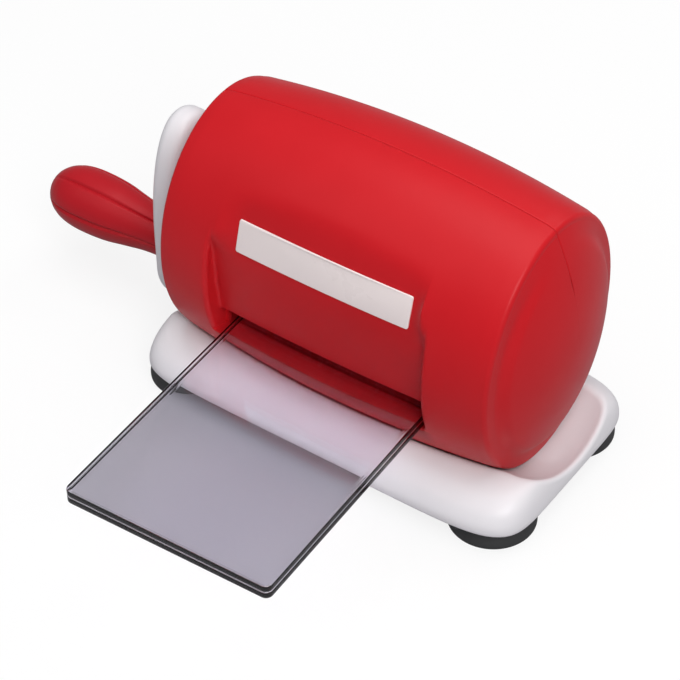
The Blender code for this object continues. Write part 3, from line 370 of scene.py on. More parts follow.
# slot: material, dark and light colour, grain size, patch size, scratches, gloss, bump, specular
plastics = {
    "red_plastic": ("redPlastic", (0.480, 0.0075, 0.0120), (0.525, 0.0095, 0.0150),
                    0.00045, 0.03, 0.10, (0.36, 0.44), 0.22, 0.17),
    "grip_red_plastic": ("gripPlastic", (0.385, 0.0070, 0.0130), (0.430, 0.0090, 0.0160),
                         0.00035, 0.02, 0.10, (0.34, 0.42), 0.14, 0.20),
    "white_plastic": ("whitePlastic", (0.690, 0.675, 0.700), (0.730, 0.715, 0.740),
                      0.0004, 0.03, 0.12, (0.30, 0.38), 0.08, 0.35),
    "label_white": ("labelPlastic", (0.770, 0.690, 0.680), (0.800, 0.715, 0.705),
                    0.0008, 0.015, 0.05, (0.26, 0.34), 0.03, 0.4),
    "black_rubber": ("blackRubber", (0.020, 0.020, 0.021), (0.034, 0.034, 0.035),
                     0.0003, 0.008, 0.2, (0.42, 0.58), 0.20, 0.5),
    "grey_plastic": ("gearPlastic", (0.120, 0.120, 0.128), (0.165, 0.165, 0.172),
                     0.0003, 0.006, 0.2, (0.42, 0.55), 0.15, 0.5),
}
# slot: material, dark and light colour, line size, patch size, gloss, bump
metals = {
    "steel": ("groundSteel", (0.46, 0.46, 0.47), (0.60, 0.60, 0.61),
              0.0003, 0.012, (0.22, 0.36), 0.15),
    "plated_steel": ("zincPlated", (0.40, 0.40, 0.415), (0.54, 0.54, 0.55),
                     0.0008, 0.008, (0.34, 0.48), 0.12),
    "bronze": ("sinteredBronze", (0.40, 0.265, 0.120), (0.52, 0.355, 0.175),
               0.0005, 0.004, (0.36, 0.50), 0.20),
}
# strength and placing of the shade painted into the red on the lip below the mouth
lipPaintedShade = {"share": 0.5} | inMm({"low": 16.5, "high": 27.3, "edge": 0.4, "inner": 40.0,
                                 "outer": 43.5})


def paintLipShade(material):
    # painted shade: the red is darkened on the lip below the mouth, most towards the plates, where
    # little light reaches it
    tree = material.node_tree
    colour = tree.nodes["Principled BSDF"].inputs["Base Color"]
    place = addNode(tree, "ShaderNodeSeparateXYZ", {0: objectPlace(tree)}).outputs
    low, high = lipPaintedShade["low"], lipPaintedShade["high"]
    up = addRange(place["Z"], 0.0, 1.0, low, high)
    inside = addRange(compute("ABSOLUTE", place["X"]), 1.0, 0.0, lipPaintedShade["inner"], lipPaintedShade["outer"])
    below = addRange(place["Z"], 1.0, 0.0, high, high + lipPaintedShade["edge"])
    shown = times(times(times(up, inside), below), lipPaintedShade["share"])
    tree.links.new(mixedColour(tree, shown, colour.links[0].from_socket, (0.0, 0.0, 0.0, 1),
                               "MULTIPLY"), colour)


def makeClearPlastic():
    # clear to the eye, and a light grey veil to the light that casts shadows
    material, tree, shader = baseMaterial("clearPlastic", (0.93, 0.92, 0.955))
    rub = grouped(tree, handling, {"Patch Size": 0.02, "Scratches": 0.12})["Rub"]
    setInputs(shader, {"Transmission Weight": 1.0, "IOR": 1.49,
                       "Roughness": addRange(rub, 0.0, 0.035)})
    veil = flow(tree, "ShaderNodeBsdfTransparent", {"Color": (0.88, 0.865, 0.885, 1)})
    surface = mixed(tree, "Is Shadow Ray", shader.outputs[0], veil)
    setInputs(tree.nodes["Material Output"], {"Surface": surface})
    return material


finishes = {slot: mouldedPlastic(*look) for slot, look in plastics.items()}
finishes |= {slot: turnedMetal(*look) for slot, look in metals.items()}
finishes["clear_plastic"] = makeClearPlastic()
# paints shade into the red on the lip below the mouth
paintLipShade(finishes["red_plastic"])
print("materials made")


# Camera, floor and light
studio = {
    "eye": (0.34370, -0.50520, 0.58040),
    "right": (0.8181, 0.5750, -0.0096),
    "up": (-0.3839, 0.5584, 0.7354),
    "back": (0.4282, -0.5979, 0.6776),
    "lens": 131.325,
    "floor": -0.008,
    "floorSize": 6.0,
    # share of plain white over the floor's own shading, to the camera
    "lift": 0.82,
    "world": 0.27,
    "worldTint": (0.97, 0.97, 1.0),
    # name, place, aim, size, power in watts, tint
    "lamps": (
        ("keyLamp", (0.75, -0.65, 1.05), (0.0, 0.0, 0.04), 0.80, 12.3, (1.0, 0.99, 0.98)),
        ("topLamp", (0.05, 0.10, 1.45), (0.0, 0.0, 0.04), 1.20, 10.5, (1.0, 1.0, 1.0)),
        ("backLamp", (0.25, 1.00, 0.95), (0.0, 0.0, 0.05), 0.80, 3.0, (1.0, 1.0, 1.0)),
        ("fillLamp", (-0.45, -0.75, 1.10), (0.0, 0.0, 0.04), 0.90, 2.2, (1.0, 1.0, 1.0)),
    ),
}


def makeStudio():
    bpy.context.scene.view_settings.view_transform = "Standard"
    data = configured(bpy.data.cameras.new("camera"), lens=studio["lens"], sensor_width=36.0,
                      sensor_fit="HORIZONTAL", clip_start=0.05, clip_end=30.0)
    camera = placed("camera", data)
    turn = Matrix([studio["right"], studio["up"], studio["back"]]).transposed()
    camera.matrix_world = Matrix.Translation(studio["eye"]) @ turn.normalized().to_4x4()
    bpy.context.scene.camera = camera
    for name, place, aim, size, power, tint in studio["lamps"]:
        lamp = bpy.data.lights.new(name, "AREA")
        configured(lamp, shape="DISK", size=size, energy=power, color=tint)
        towards = (Vector(place) - Vector(aim)).to_track_quat("Z", "Y").to_euler()
        configured(placed(name, lamp), location=place, rotation_euler=towards)


def makeWorld():
    world = bpy.data.worlds.new("studio")
    bpy.context.scene.world = world
    world.use_nodes = True
    tree = world.node_tree
    shown = setInputs(tree.nodes["Background"],
                      {"Color": (*studio["worldTint"], 1), "Strength": studio["world"]})
    white = flow(tree, "ShaderNodeBackground", {"Color": (1, 1, 1, 1), "Strength": 1.0})
    surface = mixed(tree, "Is Camera Ray", shown.outputs[0], white)
    setInputs(tree.nodes["World Output"], {"Surface": surface})


def makeFloor():
    # white to the camera, but for the object's soft shadow; a mid grey table in reflections,
    # in the light that it throws back and through the clear plates, as the photograph has it
    material, tree, shader = baseMaterial("floorPaper", (0.80, 0.80, 0.80))
    setInputs(shader, {"Roughness": 0.9, "Specular IOR Level": 0.0})
    grey = flow(tree, "ShaderNodeBsdfDiffuse", {"Color": (0.40, 0.40, 0.42, 1)})
    white = flow(tree, "ShaderNodeEmission", {"Color": (1, 1, 1, 1), "Strength": 1.0})
    path = addNode(tree, "ShaderNodeLightPath")
    lifted = mixed(tree, times(path.outputs["Is Camera Ray"], studio["lift"]),
                   shader.outputs[0], white)
    surface = mixed(tree, "Is Camera Ray", grey, lifted)
    setInputs(tree.nodes["Material Output"], {"Surface": surface})
    finishes["floor_paper"] = material
    half = studio["floorSize"] / 2
    corners = [(-half, -half), (half, -half), (half, half), (-half, half)]
    points = [(x, y, studio["floor"]) for x, y in corners]
    meshObject("floor", points, [(0, 1, 2, 3)], "floor_paper", 40)


makeStudio()
makeWorld()
makeFloor()
print("studio made")


# Barrel covers
barrel = inMm({
    "halfLength": 63.5, "axis": 48.6, "depth": 38.2, "height": 47.0, "bulge": 4.34,
    "bottom": 2.0, "wall": 1.5, "rimFillet": 1.9, "rimWidth": 2.4,
    # height of each end's dome; the left one leaves room for the crank
    "leftDome": 5.9, "rightDome": 10.5,
    # a soft step sets the dome off from the rim
    "stepWidth": 4.4,
    # distance of the recess's side walls from the middle, and their inner fillets
    "leftWall": (42.5, 1.2), "rightWall": (40.6, 3.4), "outerFillet": 1.8,
    "panelDepth": 33.2, "panelBow": 1.0, "panelBulge": 2.3, "panelTop": 88.0, "panelBlend": 0.9,
    # towards the walls the recess runs out between these heights and distances from the middle
    "fadeHeights": (61.0, 73.5), "fadeSides": (33.5, 40.0),
    "mouthFloor": 27.36, "mouthRoof": 35.2, "lip": 30.6, "lipFillet": 0.05, "edgeFillet": 0.6,
    "hubRadius": 6.8, "hubHeight": 64.36, "hubSeam": 0.2,
    # the seam's lip: distance from the middle plane, and how far the surface has dropped
    "seamLip": ((0.95, 0.0), (0.50, 0.01), (0.28, 0.05), (0.14, 0.16), (0.05, 0.34)),
    # on the round end the seam fades out between these radii, down to a hair's gap
    "seamFade": (19.0, 27.0), "closedGap": 0.01,
}) | {
    # the dome's step: its share at the bottom, and the angles in degrees above the middle plane
    # between which it comes in
    "stepShare": 0.72, "stepAngles": (84, 25),
    # the recess's walls stand upright from the second of these slopes, in degrees
    "wallSlopes": (50, 84),
    # share of the panel's height above the mouth, share of its bulge
    "panelLine": ((0.0, 0.0), (0.13, 0.435), (0.28, 0.78), (0.394, 0.957), (0.47, 1.0),
                  (0.517, 0.965), (0.564, 0.857), (0.83, -0.913), (0.924, -1.74), (1.0, -2.61)),
    # the turned-in foot in degrees, and the mouth's band: its margin in edge fillets and where
    # on the walls its rows leave their even places
    "footAngle": 3, "bandMargin": 1.6, "bandFade": (0.15, 0.55),
    # how far beyond the hub's hole the mesh is drawn onto it, in hole radii
    "hubReach": 1.25,
    "footRows": 4, "lowRows": 16, "mouthRows": 5, "edgeRows": 4, "insetRows": 3, "highRows": 60,
    "bodyColumns": 9, "filletColumns": 7, "wallColumns": 5, "panelColumns": 26,
    "domeColumns": 40, "rimColumns": 7,
}


def barrelRadius(x):
    return barrel["depth"] + barrel["bulge"] * (1 - (x / barrel["halfLength"]) ** 2)


def endProfile(dome):
    # (radius, x, rise) of an end, from the middle of its dome to the start of the barrel; rise
    # is how much further out the surface lies where the dome has no step
    half, fillet = barrel["halfLength"], barrel["rimFillet"]
    flatEdge = barrel["depth"] - fillet
    domeEdge = flatEdge - barrel["rimWidth"]
    points, count = [], barrel["domeColumns"]
    for step in range(count + 1):
        radius = flatEdge * math.sin(quarterTurn * step / count)
        full = half + dome * (1 - (radius / flatEdge) ** 2)
        rise = (full - half) * smoothStep(domeEdge - barrel["stepWidth"], domeEdge, radius)
        points.append((radius, full - rise, rise))
    rim = arc(fillet, barrel["rimColumns"], 1)
    return points + [(barrel["depth"] - across, half - along, 0) for across, along in rim]


def wallAt(x):
    return barrel["leftWall"] if x < 0 else barrel["rightWall"]


def halfColumns(dome, side):
    # each column's kind, radius, x, share across its group (on an end, its rise) and lean of
    # its normal towards X, from one end's pole to the start of the panel
    end = endProfile(dome)
    wallX, inner = wallAt(side)
    outerEdge, innerEdge = wallX + barrel["outerFillet"], wallX - inner
    columns = []
    for index, (radius, x, rise) in enumerate(end):
        before, after = end[max(0, index - 1)], end[min(len(end) - 1, index + 1)]
        fall = before[1] + before[2] - after[1] - after[2]
        columns.append(("end", radius, x, rise, math.atan2(after[0] - before[0], fall)))
    start, count = end[-1][1], barrel["bodyColumns"]
    for step in range(1, count + 1):
        columns.append(("body", 0, lerp(start, outerEdge, step / count), 0, 0))
    group = 2 * barrel["filletColumns"] + barrel["wallColumns"]
    for step in range(1, group):
        columns.append(("wall", 0, lerp(outerEdge, innerEdge, step / group), step / group, 0))
    return columns


def coverColumns():
    left = halfColumns(barrel["leftDome"], -1)
    columns = [(kind, radius, -x, share, -lean) for kind, radius, x, share, lean in left]
    (leftX, leftInner), (rightX, rightInner) = wallAt(-1), wallAt(1)
    count = barrel["panelColumns"]
    for step in range(count + 1):
        x = lerp(leftInner - leftX, rightX - rightInner, step / count)
        columns.append(("panel", 0, x, 1, 0))
    return columns + halfColumns(barrel["rightDome"], 1)[::-1]


def coverRows():
    # each row's zone, its share through it and its share of the band that holds the mouth
    edges, inset, mouth = barrel["edgeRows"], barrel["insetRows"], barrel["mouthRows"]
    zones = (("ledgeEdge", 0, edges, edges), ("ledge", 1, inset - 1, inset),
             ("mouth", 0, mouth, mouth), ("roof", 1, inset - 1, inset),
             ("roofEdge", 0, edges, edges))
    band = [(zone, step / count) for zone, first, last, count in zones
            for step in range(first, last + 1)]
    foot, low, high = barrel["footRows"], barrel["lowRows"], barrel["highRows"]
    rows = [("foot", step / foot, 0) for step in range(foot)]
    rows += [("low", step / low, 0) for step in range(low)]
    rows += [(zone, along, index / (len(band) - 1)) for index, (zone, along) in enumerate(band)]
    rows += [("high", step / high, 1) for step in range(1, high + 1)]
    return rows + [("seam", index, 1) for index in range(len(barrel["seamLip"]))]


def roundedDrop(along, depth, outer, inner, steep):
    # how far a step of two fillets has dropped at a distance inwards from its middle
    if along < -outer * math.sin(steep):
        return 0
    if along < 0:
        return outer - math.sqrt(max(0, outer**2 - (along + outer * math.sin(steep)) ** 2))
    if along < inner * math.sin(steep):
        across = inner * math.sin(steep) - along
        return depth - inner + math.sqrt(max(0, inner**2 - across**2))
    return depth


def wallStep(share, depth, inner, reach):
    # a rounded step: x from the wall's middle (outwards positive) and the share of the depth
    outer = barrel["outerFillet"]
    spread = lerp(outer, -reach, share)
    if depth <= 0:
        return spread, 0
    steep = math.acos(max(0, 1 - depth / (outer + inner)))
    upright = smoothStep(*map(math.radians, barrel["wallSlopes"]), steep)
    fillets, walls = barrel["filletColumns"], barrel["wallColumns"]
    step = share * (2 * fillets + walls)
    bend = 1 - math.cos(steep)
    straight = max(0, depth - (outer + inner) * bend)
    if step <= fillets:
        angle = steep * step / fillets
        x, drop = outer * (math.sin(steep) - math.sin(angle)), outer * (1 - math.cos(angle))
    elif step <= fillets + walls:
        x, drop = 0, outer * bend + straight * (step - fillets) / walls
    else:
        angle = steep * (2 * fillets + walls - step) / fillets
        x = -inner * (math.sin(steep) - math.sin(angle))
        drop = depth - inner * (1 - math.cos(angle))
    if upright < 1:
        x = lerp(spread, x, upright)
        drop = roundedDrop(-x, depth, outer, inner, steep)
    return x, drop / depth


def panelSurface(x, z):
    # the panel bows out along its length, stands out in the middle and leans back at its top
    level = (z - barrel["mouthRoof"]) / (barrel["panelTop"] - barrel["mouthRoof"])
    bulge = smoothTable(barrel["panelLine"], max(0, level), 1)
    bow = 1 - (x / wallAt(x)[0]) ** 2
    panel = barrel["panelDepth"] + barrel["panelBulge"] * bulge + barrel["panelBow"] * bow
    fade = smoothStep(*barrel["fadeHeights"], z) * smoothStep(*barrel["fadeSides"], abs(x))
    return lerp(panel, max(panel, barrelDepth(x, z) + barrel["panelBlend"]), fade)


def softLeast(a, b, blend):
    near = max(0, blend - abs(a - b)) / blend
    return min(a, b) - near * near * blend / 4


def barrelDepth(x, z):
    radius = barrelRadius(x)
    up = (z - barrel["axis"]) * barrel["depth"] / barrel["height"] / radius
    return radius * math.sqrt(max(0, 1 - up * up))


def recessPoint(kind, x, share, height):
    # distance from the middle and depth of a point of the recess above the mouth
    blend = barrel["panelBlend"]
    if kind == "panel":
        return abs(x), softLeast(barrelDepth(x, height), panelSurface(x, height), blend)
    side = math.copysign(1, x)
    wallX, inner = wallAt(x)
    full = barrelDepth(wallX, height)
    deep = full - softLeast(full, panelSurface(wallX * side, height), blend)
    offset, part = wallStep(share, deep, inner, inner)
    outside = barrelDepth(wallX + offset, height)
    surface = softLeast(outside, panelSurface((wallX + offset) * side, height), blend)
    return wallX + offset, lerp(outside, surface, part)


def mouthPoint(kind, x, share, height):
    # the same for the mouth, whose side walls run on to its inner lip
    if kind == "panel":
        return abs(x), barrel["lip"] + panelSurface(x, 0) - barrel["panelDepth"]
    wallX, inner = wallAt(x)
    deep = barrelDepth(wallX, height) - barrel["lip"]
    offset, part = wallStep(share, deep, barrel["lipFillet"], inner)
    return wallX + offset, lerp(barrelDepth(wallX + offset, height), barrel["lip"], part)


def bandHeight(zone, along, even, weight):
    # the height of a row of the mouth's band; away from the mouth the rows lie evenly
    floor, roof, edge = barrel["mouthFloor"], barrel["mouthRoof"], barrel["edgeFillet"]
    bend = quarterTurn * along
    exact = {
        "ledgeEdge": floor - edge * (1 - math.sin(bend)),
        "ledge": floor,
        "mouth": lerp(floor, roof, along),
        "roof": roof,
        "roofEdge": roof + edge * (1 - math.cos(bend)),
    }[zone]
    return lerp(lerp(floor - edge, roof + edge, even), exact, weight)


def rowAngle(row, tall, reference, weight):
    # the row's angle round the barrel's axis: tall is the oval's own half height here, and
    # reference the one by which the rows between the bottom and the seam are placed
    zone, along, even = row
    axis, margin = barrel["axis"], barrel["bandMargin"] * barrel["edgeFillet"]
    lowest = math.asin(max(-1, (barrel["bottom"] - axis) / tall))
    bottomEdge = math.radians(barrel["footAngle"])

    def angleOf(height):
        return math.asin(max(-1, min(1, (height - axis) / reference)))

    if zone == "foot":
        return lowest + bottomEdge * along
    if zone == "low":
        return lerp(lowest + bottomEdge, angleOf(barrel["mouthFloor"] - margin), along)
    top = math.acos(barrel["seamLip"][0][0] / barrel["depth"])
    if zone == "high":
        return lerp(angleOf(barrel["mouthRoof"] + margin), top, along)
    return top if zone == "seam" else angleOf(bandHeight(zone, along, even, weight))


def seamPoint(radius, x, rise, lean, along):
    # the lip of the seam along the top and down the ends, where it fades out
    tall = radius * barrel["height"] / barrel["depth"]
    shown = smoothStep(*barrel["seamFade"], radius)
    away, drop = barrel["seamLip"][along]
    angle = math.acos(lerp(barrel["seamLip"][0][0], away, shown) / barrel["depth"])
    y, z = radius * math.cos(angle), barrel["axis"] + tall * math.sin(angle)
    gap, sunk = barrel["closedGap"], drop * shown
    y = max(lerp(min(y, gap), y, shown), gap)
    return Vector((x + rise - sunk * math.sin(lean), y, z - sunk * math.cos(lean)))


def coverPoint(column, row):
    # one point of the front cover, with y as its depth from the middle plane
    kind, radius, x, share, lean = column
    zone, along = row[:2]
    ended = kind == "end"
    if not ended:
        radius = barrelRadius(x)
    if zone == "seam":
        return seamPoint(radius, x, math.copysign(share, x) if ended else 0, lean, along)
    tall = radius * barrel["height"] / barrel["depth"]
    weight = {"wall": smoothStep(*barrel["bandFade"], share), "panel": 1}.get(kind, 0)
    angle = rowAngle(row, max(tall, mm), barrel["height"] if ended else tall, weight)
    y, z = radius * math.cos(angle), barrel["axis"] + tall * math.sin(angle)
    if ended:
        high, low = barrel["stepAngles"]
        stepped = barrel["stepShare"] * (1 - smoothStep(low, high, math.degrees(angle)))
        x += math.copysign(share * (1 - stepped), x)
    if kind in ("end", "body") or zone in ("foot", "low"):
        return Vector((x, max(y, barrel["closedGap"]), z))
    edge, bend = barrel["edgeFillet"], quarterTurn * along
    fillets, walls = barrel["filletColumns"], barrel["wallColumns"]
    onPanel = min(1, max(0, (share * (2 * fillets + walls) - fillets - walls) / fillets))
    lip = mouthPoint(kind, x, share, z) if zone in ("ledge", "mouth", "roof") else None
    if zone == "mouth":
        place, depth = lip
    elif zone == "ledgeEdge":
        place, depth = abs(x), y - edge * (1 - math.cos(bend)) * weight
    elif zone == "ledge":
        place, depth = lerp(abs(x), lip[0], along), lerp(y - edge * weight, lip[1], along)
    else:
        place, depth = recessPoint(kind, x, share, z)
        if zone == "roof":
            place = lerp(lip[0], place, along)
            depth = lerp(lip[1], depth - edge * onPanel, along)
        elif zone == "roofEdge":
            depth -= edge * (1 - math.sin(bend)) * onPanel
    return Vector((math.copysign(place, x), depth, z))


def cutHub(mesh):
    # half of the round hole for the crank's hub, in the left end
    hole, height = barrel["hubRadius"], barrel["hubHeight"]

    def reach(point):
        return math.hypot(point.y, point.z - height) if point.x < -barrel["halfLength"] else 1

    with editing(mesh) as builder:
        inside = [face for face in builder.faces if reach(face.calc_center_median()) < hole]
        bmesh.ops.delete(builder, geom=inside, context="FACES")
        for vert in builder.verts:
            away = reach(vert.co)
            near = away < hole * barrel["hubReach"] and abs(vert.co.y) > barrel["hubSeam"]
            if vert.is_boundary and near:
                vert.co.y *= hole / away
                vert.co.z = height + (vert.co.z - height) * hole / away


def makeCover(name, side, node):
    columns, rows = coverColumns(), coverRows()
    points = []
    for row in rows:
        for column in columns:
            point = coverPoint(column, row)
            points.append((point.x, point.y * side, point.z))
    panel = [index for index, column in enumerate(columns) if column[0] == "panel"]
    mouth = [index for index, row in enumerate(rows) if row[0] == "mouth"]
    holes = {(row, column) for row in mouth[:-1] for column in panel[:-1]}
    item = meshObject(name, points, gridFaces(len(rows), len(columns), holes), "red_plastic", 50)
    cutHub(item.data)
    # outwards, away from the barrel's axis
    centre = Vector((0, 0, barrel["axis"]))
    away = sum((face.center - centre).dot(face.normal) * face.area for face in item.data.polygons)
    if away < 0:
        item.data.flip_normals()
    configured(item.modifiers.new("wall", "SOLIDIFY"), thickness=barrel["wall"], offset=-1)
    applied(item)
    shade(item.data, 42)
    dressed(item, "housing", "red_plastic", node)


makeCover("frontShell", -1, "cover_front")
makeCover("rearShell", 1, "cover_rear")
print("covers made")


# Label
label = inMm({"width": 66.0, "height": 11.0, "thickness": 0.5, "underside": 65.95, "gap": 0.12,
              "corner": 0.7, "edge": 0.15}) | {"cornerSteps": 6, "edgeSteps": 3, "columns": 48}


def makeLabel():
    # a bare plate that follows the panel's bow and lean, with a rolled edge
    halfW, halfH = label["width"] / 2, label["height"] / 2
    low, high = label["underside"], label["underside"] + label["height"]
    edge, thick = label["edge"], label["thickness"]
    sections = [(0, 0), (0, thick - edge)]
    sections += [(inset, thick - drop) for drop, inset in arc(edge, label["edgeSteps"], 1)]
    outline = roundedOutline(halfW, halfH, label["corner"], label["cornerSteps"], label["columns"])
    rings = []
    for inset, lift in sections:
        ring = []
        for acrossX, acrossZ in outline:
            x, z = acrossX * (1 - inset / halfW), low + halfH + acrossZ * (1 - inset / halfH)
            seat = lerp(panelSurface(x, low), panelSurface(x, high), (z - low) / (high - low))
            ring.append((x, -(seat + label["gap"] + lift), z))
        rings.append(ring)
    item = tubeObject("labelPlate", rings, "label_white", 45)
    dressed(item, "housing", "label_white", "label")


makeLabel()


# Cutting plates
plates = inMm({
    "width": 76.0, "front": -124.0, "rear": 28.0, "thickness": 2.45, "corner": 2.5,
    # the sheets' undersides
    "lower": 27.66, "upper": 30.41,
    # inset and height of half the section: the rounded edge, and a fine line inside it
    "section": ((0.0, 0.0), (0.0, 0.85), (0.06, 1.03), (0.2, 1.165), (0.42, 1.225), (1.45, 1.225),
                (1.62, 1.155), (1.80, 1.225)),
}) | {"turn": 2.06, "cornerSteps": 7}


def plateRing(inset, height):
    # one outline of a sheet, along the plates' own axis, which is a little turned in the mouth
    halfWidth = plates["width"] / 2 - inset
    halfLength = (plates["rear"] - plates["front"]) / 2 - inset
    turn = Matrix.Rotation(math.radians(plates["turn"]), 3, "Z")
    middle = (plates["front"] + plates["rear"]) / 2
    outline = roundedOutline(halfWidth, halfLength, plates["corner"] - inset, plates["cornerSteps"])
    return [turn @ Vector((x, y + middle, 0)) + Vector((0, 0, height)) for x, y in outline]


def makePlate(which):
    middle, half = plates[which] + plates["thickness"] / 2, plates["section"]
    rings = [plateRing(inset, middle - height) for inset, height in reversed(half)]
    rings += [plateRing(inset, middle + height) for inset, height in half[1:]]
    item = tubeObject(which + "Plate", rings, "clear_plastic", 50)
    # crisp borders keep the two large faces flat
    flats = {key for face in item.data.polygons if face.loop_total == len(rings[0])
             for key in face.edge_keys}
    for edge in item.data.edges:
        edge.use_edge_sharp = edge.use_edge_sharp or edge.key in flats
    dressed(item, "plates", "clear_plastic", "plate_" + which)


makePlate("lower")
makePlate("upper")
print("plates made")


# Base
base = inMm({
    "left": 74.0, "right": 77.5, "front": 45.4, "rear": 37.2, "top": 13.1, "sideInset": 13.5,
    "frontInset": 23.0, "floor": 1.7, "clearance": 0.30, "dish": 21.8, "rimFillet": 2.0,
}) | {
    "squareness": 7.2,
    "columns": 240, "layerSteps": 96, "topSteps": 25, "halvings": 24, "innerSteps": 60,
    "outsideSteps": 200, "outerRows": 34, "filletSteps": 8, "innerRows": 34,
    # how the points crowd towards the rim, and the fillet's largest share of the outside
    "innerCrowding": 1.5, "saddleCrowding": 1.8, "filletShare": 0.4,
    # share of the height, of the side inset and of the front inset
    "layers": ((0.0, 0.07, 0.035), (0.055, 0.0, 0.0), (0.30, 0.02, 0.015), (0.57, 0.075, 0.11),
               (0.75, 0.135, 0.245), (0.87, 0.20, 0.39), (0.95, 0.31, 0.57),
               (0.985, 0.52, 0.77), (1.0, 1.0, 1.0)),
    # share of the dish's reach, share of the end's radius
    "dishLine": ((0.0, 1.0), (0.25, 0.99), (0.42, 0.967), (0.58, 0.93), (1.0, 0.84)),
}
baseMiddle = ((base["right"] - base["left"]) / 2, (base["rear"] - base["front"]) / 2)


def moundPoint(angle, share, layer):
    # a point of the base's outer form, on a layer and at a share of the way out to its edge
    height, side, front = layer
    halfX = (base["left"] + base["right"]) / 2 - base["sideInset"] * side
    halfY = (base["front"] + base["rear"]) / 2 - base["frontInset"] * front
    cosine, sine = math.cos(angle), math.sin(angle)
    power = base["squareness"]
    reach = (abs(cosine) ** power + abs(sine) ** power) ** (-1 / power)
    x = baseMiddle[0] + halfX * cosine * reach * share
    y = baseMiddle[1] + halfY * sine * reach * share
    return Vector((x, y, base["top"] * height))


def saddleHeight(x, y):
    # the height at which the base meets its saddle; beyond the barrel nothing stops it
    half = barrel["halfLength"]
    if abs(x) <= half:
        radius = barrelRadius(x)
    else:
        reach = min(1, (abs(x) - half) / base["dish"])
        radius = barrel["depth"] * smoothTable(base["dishLine"], reach, 1)
    radius += base["clearance"]
    if abs(y) >= radius:
        return 1.0
    drop = radius * barrel["height"] / barrel["depth"] * math.sqrt(1 - (y / radius) ** 2)
    return max(base["floor"], barrel["axis"] - drop)


def denseLayers():
    # the layers' table as many small steps, by a parameter that runs over its entries
    table = [(index, *entry) for index, entry in enumerate(base["layers"])]
    count = base["layerSteps"]
    spots = [(len(table) - 1) * step / count for step in range(count + 1)]
    return [tuple(max(0, smoothTable(table, at, column)) for column in (1, 2, 3)) for at in spots]


def spans(line):
    return [(b - a).length for a, b in zip(line, line[1:])]


def resampled(points, count, crowding=1):
    # points along a polyline, evenly or crowded towards its start
    lengths = [0, *accumulate(spans(points))]
    result, index = [], 0
    for step in range(count):
        goal = lengths[-1] * (step / (count - 1)) ** crowding
        while index < len(points) - 2 and lengths[index + 1] < goal:
            index += 1
        span = lengths[index + 1] - lengths[index]
        share = (goal - lengths[index]) / span if span else 0
        result.append(points[index].lerp(points[index + 1], min(1, max(0, share))))
    return result


def outerLine(angle, layers):
    # up the outside of the base and inwards until it meets the saddle
    steps = base["topSteps"]
    line = [moundPoint(angle, 1, layer) for layer in layers]
    line += [moundPoint(angle, 1 - step / steps, layers[-1]) for step in range(1, steps)]
    path = [line[0]]
    for before, after in zip(line, line[1:]):
        if after.z < saddleHeight(after.x, after.y):
            path.append(after)
            continue
        low, high = 0, 1
        for _ in range(base["halvings"]):
            middle = (low + high) / 2
            point = before.lerp(after, middle)
            if point.z >= saddleHeight(point.x, point.y):
                high = middle
            else:
                low = middle
        return path + [before.lerp(after, high)]
    return path


def innerLine(corner):
    # from the rim down the saddle to the middle of the base
    line = [corner]
    for step in range(1, base["innerSteps"] + 1):
        share = (step / base["innerSteps"]) ** base["innerCrowding"]
        x, y = lerp(corner.x, baseMiddle[0], share), lerp(corner.y, baseMiddle[1], share)
        line.append(Vector((x, y, saddleHeight(x, y))))
    return line


def trimmed(line, reach):
    # the line without its last stretch of that length
    travelled, index = 0, len(line) - 1
    while index > 1 and travelled < reach:
        travelled += (line[index] - line[index - 1]).length
        index -= 1
    return line[:index + 1]


def baseLine(angle, layers):
    # one section of the base, with a fillet where the rim turns into the saddle
    outside = resampled(outerLine(angle, layers), base["outsideSteps"])
    corner = outside[-1]
    reach = min(base["rimFillet"], sum(spans(outside)) * base["filletShare"])
    kept = trimmed(outside, reach)
    rest = trimmed(innerLine(corner)[::-1], reach)[::-1]
    line = resampled(kept, base["outerRows"])
    for step in range(1, base["filletSteps"]):
        share = step / base["filletSteps"]
        away = 1 - share
        line.append(kept[-1] * away**2 + corner * 2 * share * away + rest[0] * share**2)
    return line + resampled(rest, base["innerRows"], base["saddleCrowding"])


def makeBase():
    layers, columns = denseLayers(), base["columns"]
    lines = [baseLine(math.radians(360) * column / columns, layers) for column in range(columns)]
    item = tubeObject("baseMoulding", list(zip(*lines)), "white_plastic", 60)
    dressed(item, "housing", "white_plastic", "base")


makeBase()
print("base made")


# Crank arm
arm = inMm({
    "inner": 74.8, "outer": 85.0, "halfWidth": 17.3, "top": 79.1, "shoulder": 34.5,
    "bottom": 19.36, "hub": 64.36, "edge": 4.2, "flat": 4.5, "bossRadius": 9.0, "bossEnd": 69.8,
    "boreRadius": 4.3, "recessRadius": 4.5, "recessDepth": 3.0, "pinRadius": 2.9,
    # how far the cutting bars stand out, and how far the bore runs into the recess
    "past": 5.0, "overlap": 0.5, "softening": 0.35,
}) | {"squareness": 2.2, "steps": 36, "sideSteps": 8, "edgeSteps": 9, "softenAngle": 60}


def armOutline(inset):
    # a round lower end, straight sides and a taller, squarer top
    half, steps, sides = arm["halfWidth"] - inset, arm["steps"], arm["sideSteps"]
    bottom, shoulder = arm["bottom"], arm["shoulder"]
    rise = arm["top"] - shoulder - inset
    power = 2 / arm["squareness"]
    points = []
    for step in range(steps + 1):
        angle = math.radians(180) * (1 + step / steps)
        points.append((half * math.cos(angle), bottom + half * math.sin(angle)))
    points += [(half, lerp(bottom, shoulder, step / sides)) for step in range(1, sides)]
    for step in range(steps + 1):
        angle = math.radians(180) * step / steps
        cosine, sine = math.cos(angle), max(0, math.sin(angle))
        y = half * math.copysign(abs(cosine) ** power, cosine)
        points.append((y, shoulder + rise * sine**power))
    return points + [(-half, lerp(shoulder, bottom, step / sides)) for step in range(1, sides)]


